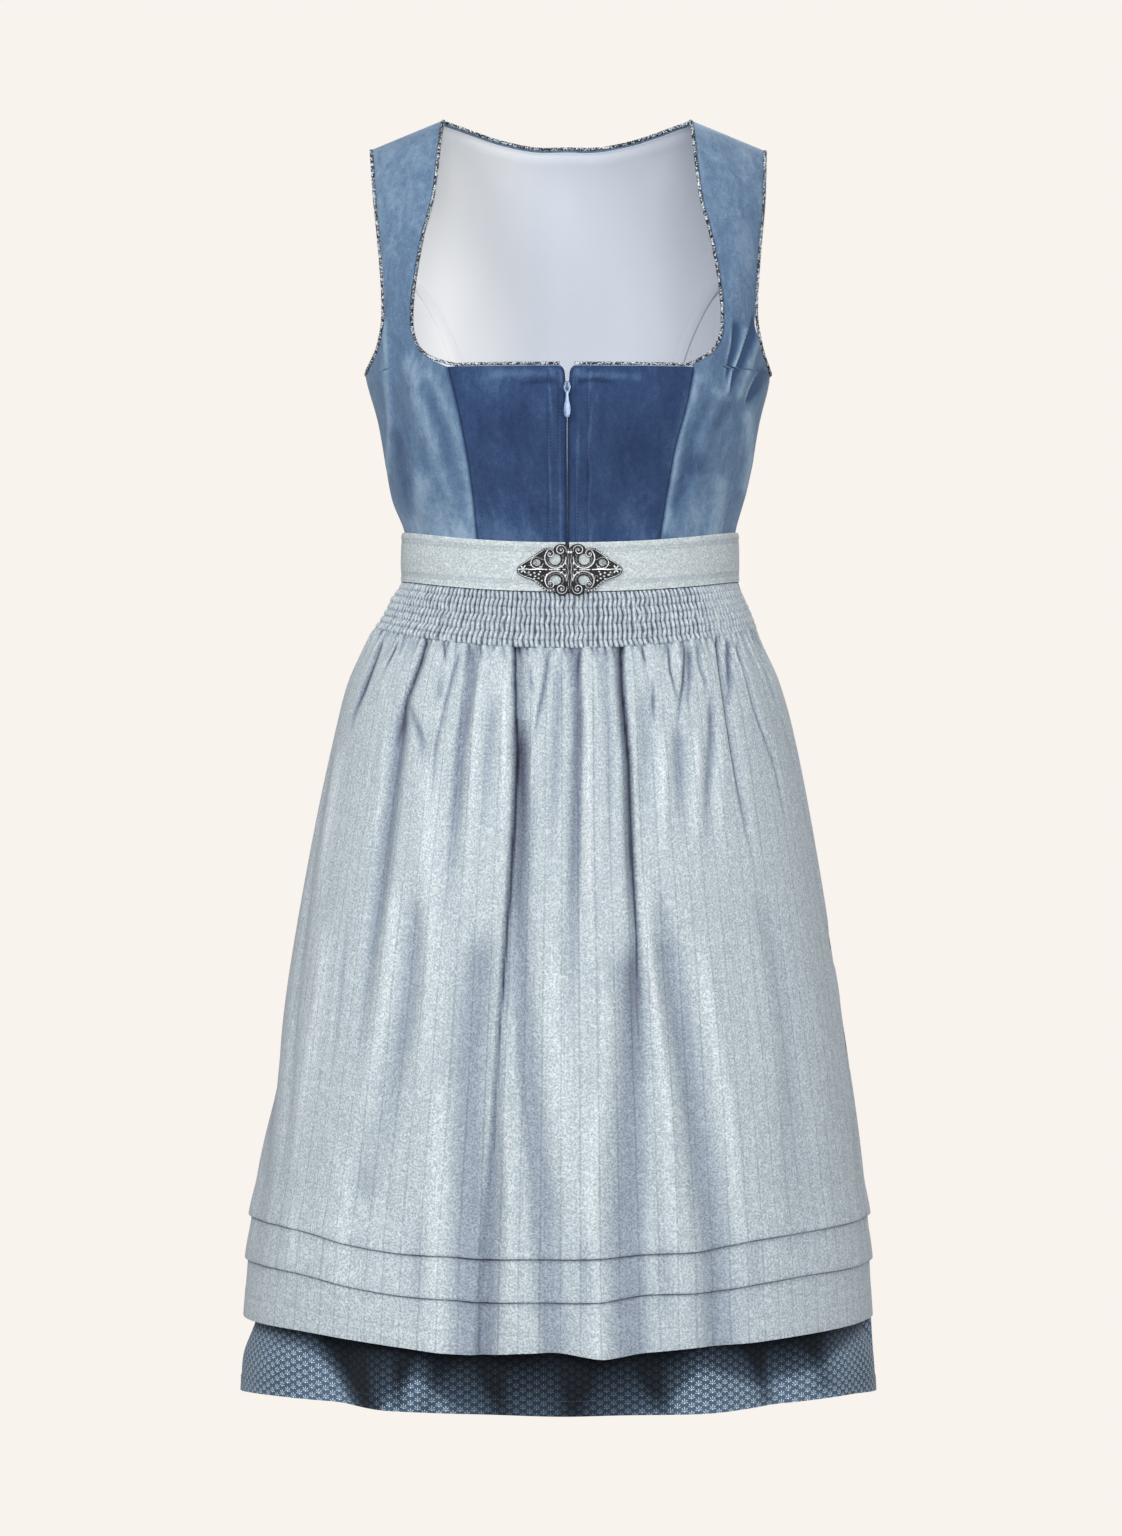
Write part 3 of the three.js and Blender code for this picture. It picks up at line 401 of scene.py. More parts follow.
def back_side(side):
    sign = -1 if side == LEFT else 1
    z = heights(BACK_SEAM_TOP, WAIST, 3.6)
    seam = angle_at(sign * (read(PRINCESS_BACK, z) + 0.15), z, back=True)
    under = np.full_like(z, 90 + SEAM_HALF if sign > 0 else 270 - SEAM_HALF)
    outer = np.where(z > UNDERARM, angle_at(sign * armhole_x(z, side), z, back=True), under)
    return left_to_right(sign, outer, seam, 34), z


# Folds pressed into the velvet: line over the cloth, half-width and depth. A rise is a negative depth.
BODICE_FOLDS = [
    ([(-146, -177), (-146, -218), (-143, -250), (-145, -283)], 2.6, -1.4),
    ([(-139, -190), (-138, -235), (-135, -280)], 5, 1.3),
    ([(-125, -214), (-114, -252), (-102, -284), (-90, -316), (-84, -342)], 7, -1.5),
    ([(-112, -214), (-100, -250), (-88, -285), (-80, -320)], 6, 1.2),
    ([(-108, -345), (-117, -312), (-121, -288)], 8, -1.6),
    ([(-128, -300), (-122, -330), (-112, -352)], 6, 1.5),
    ([(143, -178), (137, -200), (129, -226)], 3.4, -1.6),
    ([(153, -186), (147, -206), (138, -232)], 3.6, -1.6),
    ([(117, -236), (101, -264), (96, -296), (88, -318)], 7, 1.6),
    ([(121, -232), (112, -255), (107, -284), (103, -310)], 7, -1.6),
    ([(122, -300), (122, -322), (116, -345)], 6, -1.8),
    ([(146, -246), (148, -280), (142, -306)], 4, -1.3),
    ([(60, -303), (63, -320)], 3, 0.8),
    ([(-104, -20), (-118, -70), (-124, -120), (-127, -165)], 9, -1.0),
    ([(122, -20), (134, -70), (138, -120), (137, -165)], 9, -1.0),
]
# Streaks where the velvet is painted lighter (or darker, below 0): mostly painted highlights on the ridges of
# the folds and painted shade in their hollows and below the neckline's facing, with a few broad streaks of
# crushed nap.
NAP_AND_FOLD_LIGHT = [
    ([(-147, -170), (-146, -218), (-143, -250), (-146, -290)], 2.4, 0.34),
    ([(-126, -205), (-114, -252), (-102, -284), (-90, -316), (-82, -350)], 7, 0.3),
    ([(-110, -215), (-99, -240), (-89, -262), (-80, -300), (-76, -330)], 4.5, 0.2),
    ([(-114, -226), (-103, -256), (-95, -290), (-84, -330)], 6, -0.24),
    ([(-96, -214), (-90, -235)], 5, -0.16),
    ([(-118, -300), (-122, -318), (-118, -345)], 9, 0.3),
    ([(-104, -322), (-98, -350)], 8, 0.18),
    ([(-138, -262), (-132, -300), (-128, -322)], 6, -0.22),
    ([(105, -218), (97, -240), (90, -264), (86, -290), (79, -338)], 4, 0.24),
    ([(117, -236), (101, -264), (96, -296), (88, -318)], 6, -0.28),
    ([(121, -232), (112, -255), (107, -274)], 6, 0.3),
    ([(124, -300), (121, -330), (117, -350)], 6, 0.3),
    ([(146, -246), (149, -280), (143, -302)], 5, 0.28),
    ([(108, -320), (98, -345)], 9, 0.18),
    ([(143, -178), (137, -200), (129, -226)], 2.4, 0.3),
    ([(154, -186), (147, -206), (138, -232)], 2.4, 0.3),
    ([(128, -240), (112, -262), (104, -290)], 5, -0.3),
    ([(-60, -340), (-30, -350)], 12, 0.16),
    ([(50, -332), (66, -350)], 10, 0.14),
    ([(-60, -217), (-12, -216)], 3.4, 0.24), ([(-36, -224), (-12, -222.5)], 1.8, -0.22),
    ([(9, -217), (56, -219)], 3.4, 0.22), ([(11, -223), (20, -221.5), (36, -223)], 1.8, -0.3),
    ([(-60, -250), (-36, -262)], 16, -0.14),
    ([(44, -262), (60, -290)], 18, -0.14),
]
# Sharp folds below the right arm: line from the top down, width of the hollow beside it and how much shade is
# painted in the hollow.
ARM_FOLDS = [
    ([(134, -176), (133, -190), (130, -204), (127, -222)], 5.5, 0.9),
    ([(149, -172), (144, -186), (139, -200), (133, -214), (129, -234)], 6, 1.1),
    ([(157, -210), (152, -218), (148, -226), (143.5, -238)], 9, 1.1),
]
TOPSTITCHES = [-14.4, -5.7, 7.8, 17.4]
FACING_EDGE = [
    ([(9, -226), (17, -222), (32, -221), (46, -224)], 2, 0.8),
    ([(-8, -226), (-16, -222), (-34, -221), (-50, -225)], 2, 0.7),
]


def soft_back(grid):
    """Shallow creases across the small of the back and below the arms."""
    x, z = grid[..., 0], grid[..., 2]
    drawn = 0.9 * np.sin(z / 11 + 0.6 * np.sin(x / 38)) * bell(z + 322, 34) * bell(np.abs(x) - 45, 60)
    pulled = 1.2 * np.sin((np.abs(x) * 0.8 - z * 0.5) / 9) * bell(z + 232, 34) * bell(np.abs(x) - 118, 30)
    return drawn + pulled


panels = {
    "bodice_front_side_left": (front_side(LEFT), "side", (0.115, 0.37), 0.0315),
    "bodice_front_side_right": (front_side(RIGHT), "side", (0.12, 0.37), 0.0322),
    "bodice_front_centre_left": (front_centre(LEFT), "centre", (0.1, 0.155), 0.0132),
    "bodice_front_centre_right": (front_centre(RIGHT), "centre", (0.105, 0.155), 0.014),
    "bodice_back_centre": (back_centre(), "side", (0.33, 0.36), 0.085),
    "bodice_back_side_left": (back_side(LEFT), "side", (0.11, 0.26), 0.0238),
    "bodice_back_side_right": (back_side(RIGHT), "side", (0.11, 0.26), 0.0247),
}
for name, ((angle, z), kind, flat, area) in panels.items():
    z = np.broadcast_to(z if z.ndim == 2 else z[:, None], angle.shape)
    grid = form(angle, z)
    outward = form_normal(angle, z)
    front = "front" in name
    roll = SEAM_ROLL["depth"] * bell(from_edges(grid), SEAM_ROLL["reach"])
    out = -roll
    # Painted shade runs along the seams and edges of each panel below the arms.
    nap_and_painted_light = -0.42 * bell(from_edges(grid), 0.8) * (z < (UNDERARM - 2 if front else BACK_SEAM_TOP - 1))
    if front:
        for line, width, depth in BODICE_FOLDS:
            out -= depth * stroke(grid, line, width)
        for line, width, strength in NAP_AND_FOLD_LIGHT:
            nap_and_painted_light += strength * stroke(grid, line, width)
        for line, width, strength in ARM_FOLDS:
            away, down = off_line(grid, line)
            ending = np.clip(3 - 3 * down, 0, 1) * (grid[..., 0] > 100)
            hollow = bell(away, np.where(away < 0, 0.7, width * (1.1 - 0.8 * np.clip(down, 0, 1))))
            hollow = hollow * np.clip(4 * down + 0.6, 0, 1) * ending
            # The hollow sinks into the cloth and is painted darker, and a painted highlight runs along its
            # sharp edge.
            out -= 3.2 * hollow
            nap_and_painted_light -= strength * hollow
            nap_and_painted_light += 0.3 * bell(away + 2, 1.1) * np.clip(4 * down, 0, 1) * ending
    else:
        out += soft_back(grid) * np.minimum(1, from_edges(grid) / 12)
    if kind == "centre":
        for line, width, depth in FACING_EDGE:
            out -= depth * stroke(grid, line, width)
        for x in TOPSTITCHES:
            out -= 0.45 * bell(grid[..., 0] - x, 0.9)
            # Beside each stitch line the velvet is painted lighter on one side and darker on the other, as
            # painted highlight and shade of the groove.
            nap_and_painted_light += 0.22 * bell(grid[..., 0] - x - 0.8, 0.7) - 0.2 * bell(grid[..., 0] - x + 0.6, 0.7)
    else:
        # The straps and upper sides are painted lighter, as painted sheen.
        nap_and_painted_light += 0.2 * np.clip(0.9 - z / UNDERARM, 0, 0.9)
    outer = grid + outward * (out * fall(z, -3, 20))[..., None]
    inner = outer - outward * VELVET
    for wall in (outer, inner):
        side = -1 if front else 1
        wall[..., 1] = np.where(wall[..., 1] * side < SHOULDER_GAP, side * SHOULDER_GAP, wall[..., 1])
    finish = centre_velvet if kind == "centre" else side_velvet
    made = cloth(name + "_velvet", outer, inner, finish, {"nap_and_painted_light": nap_and_painted_light})
    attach(made, BODY)
    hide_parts(name)

# ---- Lining ----
# Pale sateen lining of the back, seen through the neckline, with its two princess seams covered by
# narrow satin tapes.

LINING = {"depth": 3.4, "thickness": 0.7, "inset": 2.8, "side": 89.4}
LINING_TAPE = {"width": 9.5, "thickness": 0.7, "crown": 0.5, "depth": 6.3, "top": -126, "bottom": -350}
SIDES = (("left", LEFT, -1), ("right", RIGHT, 1))

lining_finish = Finish("lining_sateen", Roughness=0.5, Sheen_Weight=0.12, Specular_IOR_Level=0.3)
place = lining_finish.place()
weave = lining_finish.noise(lining_finish.place(flat=True), 1400, 1, 0.5, (1, 0.25, 1))
shade = lining_finish.noise(place, 9, 2, 0.5, (1.6, 1.6, 0.5))
# Painted shade: the lining is painted lighter toward the viewer's left and darker toward the right, with soft
# painted blotches of shade.
across = lining_finish.node("ShaderNodeSeparateXYZ", {0: place}).outputs[0]
lit = lining_finish.maths("MULTIPLY_ADD", across, -3.4, 0.38)
shade = lining_finish.maths("MULTIPLY_ADD", shade, 0.25, lit)
wear_and_painted_shade = [(0.0, paint(188, 193, 203)), (0.5, paint(234, 240, 250)), (0.85, paint(255, 255, 255))]
lining_finish.set(Base_Color=lining_finish.ramp(shade, wear_and_painted_shade))
lining_finish.set(Normal=lining_finish.bump(weave, 0.25, 0.0004))

z = np.concatenate([[1.6, 0.9, 0, -1], heights(-2, -110, 3.4), heights(-114, -356, 4)])
edges = {}
for word, side, sign in SIDES:
    armhole = angle_at(sign * (armhole_x(z, side) - LINING["inset"]), z, back=True)
    edges[side] = np.where(z <= UNDERARM, 180 - sign * LINING["side"], armhole)
angle = span(edges[RIGHT], edges[LEFT], 90)
height = back_height(form(angle, z[:, None])[..., 0], z[:, None] - LINING["inset"])
base = form(angle, height)
x, level = base[..., 0], base[..., 2]
# The lining hangs a little slack in upright folds.
slack = 0.8 * (1 + np.sin(x / 9 + 0.7 * np.sin(level / 60))) * bell(level + 210, 120) * bell(np.abs(x) - 30, 60)
drape = [(118, -144), (95, -190), (80, -250), (69, -310)]
slack += 1.1 * sum(stroke(base, [(sign * across, down) for across, down in drape], 12) for sign in (-1, 1))
slack *= np.clip(from_edges(base) / 14, 0, 1) * fall(level, -4, 24)
# Along the neckline it rolls up to the cord.
slack -= (LINING["depth"] - VELVET - 0.2) * np.clip((z[:, None] + 5) / 5, 0, 1)
outward = form_normal(angle, height)
outer = base - outward * (LINING["depth"] + slack)[..., None]
inner = outer - outward * LINING["thickness"]
for wall in (outer, inner):
    wall[..., 1] = np.maximum(wall[..., 1], SHOULDER_GAP)
lining = cloth("lining_back_sateen", outer, inner, lining_finish.material)
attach(lining, BODY)
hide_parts("lining_back")

tape_finish = Finish("lining_tape_satin", Roughness=0.4, Sheen_Weight=0.1)
# Painted shade: the tapes are painted darker toward the viewer's right.
across = tape_finish.node("ShaderNodeSeparateXYZ", {0: tape_finish.place()}).outputs[0]
lit = tape_finish.maths("MULTIPLY_ADD", across, -3.4, 0.5)
tape_finish.set(Base_Color=tape_finish.ramp(lit, [(0.1, paint(196, 202, 212)), (0.8, paint(255, 255, 255))]))
ribs = tape_finish.noise(tape_finish.place(flat=True), 900, 1, 0.5, (0.15, 1, 1))
tape_finish.set(Normal=tape_finish.bump(ribs, 0.3, 0.0004))
for word, side, sign in SIDES:
    z = heights(LINING_TAPE["top"], LINING_TAPE["bottom"], 4)
    middle = read(PRINCESS_BACK, z)
    first, last = (middle + sign * turn * LINING_TAPE["width"] / 2 for turn in (1, -1))
    across = span(first, last, 9) * sign
    angle = angle_at(across, z[:, None], back=True)
    base = form(angle, z[:, None])
    outward = form_normal(angle, np.broadcast_to(z[:, None], angle.shape))
    crown = LINING_TAPE["crown"] * np.cos(np.linspace(-1, 1, 9) * np.pi / 2)[None]
    outer = base - outward * (LINING_TAPE["depth"] - LINING_TAPE["crown"])
    inner = outer - outward * (LINING_TAPE["thickness"] + crown)[..., None]
    name = "lining_seam_" + word
    made = cloth(name + "_tape", outer, inner, tape_finish.material)
    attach(made, BODY)
    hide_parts(name)

# ---- Piped edges ----
# A twisted three-strand cord of black and silver glitter yarn, sewn along the neckline and round
# both armholes.

CORD = {"radius": 0.0014, "step": 0.0008, "lay": 0.0062, "sides": 18, "lobe": 0.2}
# How far the cord's middle lies beside the edge of the cloth.
CORD_OFF = 1.7

cord_finish = Finish("glitter_cord", Metallic=0.25, Specular_IOR_Level=0.6)
place = cord_finish.place()
cells = cord_finish.node("ShaderNodeTexVoronoi", {"Vector": place, "Scale": 950.0})
fleck = cord_finish.node("ShaderNodeSeparateColor", {"Color": cells.outputs["Color"]}).outputs[0]
black = [(0, paint(14, 16, 22)), (0.5, paint(44, 50, 62))]
silvered = [(0.6, paint(140, 156, 174)), (0.8, paint(236, 244, 250))]
cord_finish.set(Base_Color=cord_finish.ramp(fleck, black + silvered))
cord_finish.set(Roughness=cord_finish.maths("MULTIPLY_ADD", fleck, -0.5, 0.75))
cord_finish.set(Normal=cord_finish.bump(fleck, 0.6, 0.0003))


class Steps(Nodes):
    """A Geometry Nodes tree with named inputs."""

    def __init__(self, name, **inputs):
        self.tree = bpy.data.node_groups.new(name, "GeometryNodeTree")
        self.tree.interface.new_socket("Geometry", in_out="INPUT", socket_type="NodeSocketGeometry")
        self.tree.interface.new_socket("Geometry", in_out="OUTPUT", socket_type="NodeSocketGeometry")
        for key, kind in inputs.items():
            self.tree.interface.new_socket(key, in_out="INPUT", socket_type="NodeSocket" + kind)
        self.ins = self.tree.nodes.new("NodeGroupInput").outputs

    def end(self, geometry):
        whole = self.node("GeometryNodeRealizeInstances", {"Geometry": geometry}).outputs[0]
        painted = self.node("GeometryNodeSetMaterial", {"Geometry": whole, "Material": self.ins["Finish"]})
        self.tree.links.new(painted.outputs[0], self.tree.nodes.new("NodeGroupOutput").inputs[0])


def grown(name, source, steps, **values):
    """The plain mesh that a tree makes of a source object, which is then removed."""
    modifier = source.modifiers.new("steps", "NODES")
    modifier.node_group = steps.tree
    for item in steps.tree.interface.items_tree:
        if item.in_out == "INPUT" and item.name in values:
            modifier[item.identifier] = values[item.name]
    graph = bpy.context.evaluated_depsgraph_get()
    mesh = bpy.data.meshes.new_from_object(source.evaluated_get(graph), depsgraph=graph)
    mesh.name = name
    made = bpy.data.objects.new(name, mesh)
    bpy.context.scene.collection.objects.link(made)
    bpy.data.objects.remove(source)
    return made


def add_splines(curve, paths, closed):
    """One straight-edged spline for each list of points."""
    for path in paths:
        spline = curve.splines.new("POLY")
        spline.points.add(len(path) - 1)
        spline.points.foreach_set("co", np.column_stack([path, np.ones(len(path))]).ravel())
        spline.use_cyclic_u = closed


def lines(name, paths, closed=False):
    """A curve object along lists of points in millimetres."""
    curve = bpy.data.curves.new(name, "CURVE")
    curve.dimensions = "3D"
    add_splines(curve, [np.asarray(path) * MM for path in paths], closed)
    made = bpy.data.objects.new(name, curve)
    bpy.context.scene.collection.objects.link(made)
    return made


twist = Steps("twisted_cord", Radius="Float", Step="Float", Lay="Float", Lobe="Float", Finish="Material")
evenly = {"Curve": twist.ins["Geometry"], "Length": twist.ins["Step"]}
even = twist.node("GeometryNodeResampleCurve", evenly, mode="LENGTH")
along = twist.node("GeometryNodeSplineParameter").outputs["Length"]
turns = twist.maths("DIVIDE", twist.maths("MULTIPLY", along, 2 * math.pi), twist.ins["Lay"])
wound = twist.node("GeometryNodeSetCurveTilt", {"Curve": even.outputs[0], "Tilt": turns}).outputs[0]
circle = {"Resolution": CORD["sides"], "Radius": twist.ins["Radius"]}
ring = twist.node("GeometryNodeCurvePrimitiveCircle", circle)
spot = twist.node("GeometryNodeInputPosition").outputs[0]
parts = twist.node("ShaderNodeSeparateXYZ", {0: spot}).outputs
lobes = twist.maths("COSINE", twist.maths("MULTIPLY", twist.maths("ARCTAN2", parts[1], parts[0]), 3.0))
reach = twist.maths("ADD", twist.maths("MULTIPLY", lobes, twist.ins["Lobe"]), 0.9)
shaped = twist.node("ShaderNodeVectorMath", {0: spot, "Scale": reach}, operation="SCALE").outputs[0]
section = twist.node("GeometryNodeSetPosition", {"Geometry": ring.outputs[0], "Position": shaped}).outputs[0]
rope = {"Curve": wound, "Profile Curve": section, "Fill Caps": True}
twist.end(twist.node("GeometryNodeCurveToMesh", rope).outputs[0])


def smooth_path(points, step=1.5, closed=False):
    """Points evenly along a smooth curve through the given points."""
    points = np.asarray(points, float)
    if closed:
        points = np.vstack([points[-3:], points, points[:4]])
    along = np.concatenate([[0], np.cumsum(np.linalg.norm(np.diff(points, axis=0), axis=1))])
    start, stop = (along[3], along[-4]) if closed else (along[0], along[-1])
    count = max(2, round((stop - start) / step)) + 1
    at = np.linspace(start, stop, count)
    at = at[:-1] if closed else at
    columns = [read([(a, *p) for a, p in zip(along, points)], at, 1 + k) for k in range(3)]
    return np.stack(columns, -1)


def beside(angle, z, turn, closed=False):
    """A path that lies beside the edge of the cloth, on the side that turns the way the sign says."""
    angle, z = np.asarray(angle, float), np.asarray(z, float)
    middle = form(angle, z) - form_normal(angle, z) * VELVET / 2
    if closed:
        along = np.roll(middle, -1, axis=0) - np.roll(middle, 1, axis=0)
    else:
        along = np.gradient(middle, axis=0)
    away = np.cross(along, form_normal(angle, z))
    away /= np.linalg.norm(away, axis=-1, keepdims=True)
    return middle + away * turn * CORD_OFF


cords = {}
for word, side, sign in SIDES:
    corner = read(PRINCESS_FRONT, UNDERARM, side) - 6
    front_x = np.linspace(zip_edge(UNDERARM) + 0.6, corner, 12)
    strap_z = np.concatenate([heights(-204, -140, 7), heights(-130, -8, 10), [-4, -1.5, 0]])
    xs = np.concatenate([front_x, neck_x(strap_z)])
    zs = np.concatenate([np.full(12, UNDERARM), strap_z])
    path = beside(angle_at(sign * xs, zs), zs, -sign)
    path[-1, 1] = -0.3
    cords["piping_neck_" + word] = (smooth_path(path), False)
    front_z = np.concatenate([heights(-207.5, -140, 7), heights(-130, -8, 10), [-3, 0]])
    back_z = np.concatenate([[-3], heights(-8, -110, 10), heights(-116, -207.5, 8)])
    angles = [sign * 90] + list(angle_at(sign * armhole_x(front_z, side), front_z))
    angles += list(angle_at(sign * armhole_x(back_z, side), back_z, back=True))
    path = beside(angles, [UNDERARM, *front_z, *back_z], sign, closed=True)
    cords["piping_armhole_" + word] = (smooth_path(path, closed=True), True)
x = np.linspace(0.625, -0.625, 21) * ARMHOLE_TOP
z = back_height(x, 0.0)
cords["piping_neck_back"] = (smooth_path(beside(angle_at(x, z, back=True), z, -1)), False)
for name, (path, closed) in cords.items():
    source = lines(name + "_path", [path], closed)
    values = {"Radius": CORD["radius"], "Step": CORD["step"], "Lay": CORD["lay"], "Lobe": CORD["lobe"]}
    made = grown(name + "_cord", source, twist, Finish=cord_finish.material, **values)
    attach(made, BODY)
    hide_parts(name)

# ---- Printed cotton skirt ----
# Two widths of light cotton, sewn at the sides, gathered to the waist and turned up at the hem, dark
# blue with a scattered print of small pale sprigs.

APRON_EDGE = (-101, 84)
APRON_HEM = -979
SKIRT_HEM = -1041
SKIRT_TOP = -361.4
SKIRT = {"seam": 95, "half": 0.07, "thickness": 0.8}
GATHER = {"top": -398, "above": 34, "first": 84, "count": 58, "pitch": 3.17}
UNCOVER = 7
HIP_RADIUS = 150
SKIRT_INSET = [
    (-361, 0, 0), (-380, 1.8, 1.8), (-400, 5, 5), (-430, 13, 8), (-500, 17, 9), (-640, 19, 9.5),
    (-977, 17, 9.5), (-1010, 13, 0.5), (-1041, 10, 0),
]
BACK_FOLDS = [
    (104, 5, 9, 5), (121, 8, 14, 4.4), (138, 5, 10, 5), (153, 9, 15, 4.2), (171, 6, 12, 5),
    (187, 8, 14, 4.6), (205, 5, 11, 5.2), (221, 9, 15, 4.4), (239, 6, 11, 5), (256, 5, 9, 4.6),
]
HEM_BULGES = [(-62, 6, 11), (-33, 8, 5), (27, 8, 6), (56, 5, 9)]
HEM_HOLLOWS = [(-45, 9, 5), (-14, 10, 10), (10, 8, 8), (42, 5, 4)]
HEM_RISE = {"angle": 58, "spread": 26, "rise": 7}
TURN_UP = {"height": 13, "depth": 0.7}
# How much lower the apron hangs at the centre front, by height.
FRONT_DIP = [(-338, 12), (-379, 11), (-416, 18), (-600, 20), (-897, 20), (-979, 14)]


def frontness(angle):
    return np.maximum(0, np.cos(np.radians(angle))) ** 2


def covered(angle):
    signed = np.where(angle > 180, angle - 360, angle)
    past = np.maximum(APRON_EDGE[0] - 2 - signed, signed - APRON_EDGE[1])
    return eased(np.clip(1 - past / UNCOVER, 0, 1))


def ridge(angle, z, at, top, length, lean, width, rise):
    """A soft ridge that runs down from a gathered edge, leaning aside and fading out."""
    down = fall(z, top, length)
    away = np.radians(angle - at - lean * (top - z)) * HIP_RADIUS
    return rise * (1 - down) ** 1.5 * bell(away, width * (1 + 0.7 * down))


def skirt_out(angle, z, chance):
    signed = np.where(angle > 180, angle - 360, angle)
    inset = read(SKIRT_INSET, z, 2)
    inset = (inset + (read(SKIRT_INSET, z, 1) - inset) * frontness(angle)) * covered(angle)
    hang = fall(z, GATHER["top"], 80)
    down = np.maximum(0, (z - GATHER["top"]) / (SKIRT_HEM - GATHER["top"]))
    below = eased(fall(z, APRON_HEM + 16, 40))
    out = -inset
    for at, hip, hem, width in BACK_FOLDS:
        out = out - hang * (hip + (hem - hip) * down) * bell(angle - at, width)
    for at, rise, width in HEM_BULGES:
        out = out + below * rise * bell(signed - at, width)
    for at, depth, width in HEM_HOLLOWS:
        out = out - below * depth * bell(signed - at, width)
    open_cloth = 1 - covered(angle)
    edge = GATHER["top"] + GATHER["above"]
    for k in range(GATHER["count"]):
        at = GATHER["first"] + k * GATHER["pitch"] + chance.uniform(-1, 1)
        rise, length = chance.uniform(1.6, 3.4), chance.uniform(50, 220)
        lean, width = chance.uniform(-0.02, 0.02), chance.uniform(2.4, 4.2)
        out = out + open_cloth * ridge(angle, z, at, edge, length, lean, width, rise)
    return out - open_cloth * 1.2 * fall(z, edge, 30) * (1 - down)


# Where the hem of the apron throws its shadow over the skirt: place across, how far down, how deep.
HEM_SHADE = [
    (-262, 2, 0.3), (-235, 4, 0.5), (-205, 8, 0.7), (-188, 20, 1), (-172, 40, 1), (-152, 52, 1),
    (-138, 30, 1), (-120, 18, 1), (-105, 26, 1), (-88, 44, 1), (-50, 54, 1), (-10, 62, 1), (30, 60, 1),
    (60, 46, 1), (85, 30, 1), (105, 12, 0.8), (125, 16, 0.9), (150, 26, 1), (190, 22, 1), (225, 10, 0.7),
    (250, 3, 0.4),
]
# Hollows of the skirt's folds below the apron: line over the front, half-width and how much shade is painted in
# them.
HEM_FOLDS = [
    ([(-186, -985), (-170, -1008), (-160, -1035)], 9, 0.5), ([(-128, -990), (-134, -1030)], 6, 0.5),
    ([(-100, -1000), (-112, -1038)], 8, 0.3), ([(-60, -1010), (-52, -1040)], 9, 0.35),
    ([(8, -1015), (4, -1040)], 12, 0.35), ([(66, -1010), (78, -1040)], 9, 0.4),
    ([(148, -990), (158, -1030)], 6, 0.4), ([(196, -985), (206, -1020)], 8, 0.35),
]
PRINT = {"across": 0.0056, "down": 0.0066, "rays": 9.0, "reach": 0.0031}
skirt_finish = Finish("skirt_print", Roughness=0.8, Sheen_Weight=0.1, Specular_IOR_Level=0.2)
flat = skirt_finish.node("ShaderNodeSeparateXYZ", {0: skirt_finish.place(flat=True)}).outputs
maths = skirt_finish.maths
column = maths("DIVIDE", flat[0], PRINT["across"])
odd = maths("MODULO", maths("ABSOLUTE", maths("FLOOR", column)), 2.0)
row = maths("MULTIPLY_ADD", odd, 0.5, maths("DIVIDE", flat[1], PRINT["down"]))
local_x = maths("MULTIPLY", maths("SUBTRACT", maths("FRACT", column), 0.5), PRINT["across"])
local_y = maths("MULTIPLY", maths("SUBTRACT", 0.76, maths("FRACT", row)), PRINT["down"])
turn = maths("ARCTAN2", local_x, local_y)
spoke = maths("SQRT", maths("MULTIPLY_ADD", local_y, local_y, maths("MULTIPLY", local_x, local_x)))
ray = maths("MULTIPLY_ADD", maths("COSINE", maths("MULTIPLY", turn, PRINT["rays"])), 3.0, -1.2, clamp=True)
upper = maths("MULTIPLY", maths("SUBTRACT", 1.9, maths("ABSOLUTE", turn)), 6.0, clamp=True)
reach = maths("MULTIPLY_ADD", maths("COSINE", turn), 0.0011, PRINT["reach"] - 0.0005)
inside = maths("MULTIPLY", maths("SUBTRACT", reach, spoke), 3000.0, clamp=True)
hollow = maths("MULTIPLY", maths("SUBTRACT", spoke, 0.0009), 3000.0, clamp=True)
fan = maths("MULTIPLY", maths("MULTIPLY", ray, upper), maths("MULTIPLY", inside, hollow))
stem = maths("MULTIPLY", maths("SUBTRACT", 0.00075, spoke), 4000.0, clamp=True)
wear_and_painted_shade = skirt_finish.noise(skirt_finish.place(flat=True), 420, 3, 0.6)
sprig = maths("MULTIPLY", maths("MAXIMUM", fan, stem), maths("MULTIPLY_ADD", wear_and_painted_shade, 1.1, 0.4), clamp=True)
soft = skirt_finish.noise(skirt_finish.place(), 16, 2)
ground = skirt_finish.ramp(soft, [(0.3, paint(66, 87, 112)), (0.7, paint(90, 112, 138))])
printed = skirt_finish.mix(sprig, ground, paint(224, 240, 244))
# The shade mark multiplies painted shade into the print.
painted_shade_stops = [(0, (1, 1, 1)), (0.5, (0.26, 0.29, 0.32)), (1, (0.03, 0.04, 0.05))]
shadow = skirt_finish.ramp(skirt_finish.mark("shade"), painted_shade_stops)
skirt_finish.set(Base_Color=skirt_finish.mix(1.0, printed, shadow, "MULTIPLY"))
threads = skirt_finish.noise(skirt_finish.place(flat=True), 1500, 1, 0.5)
skirt_finish.set(Normal=skirt_finish.bump(threads, 0.25, 0.0004))

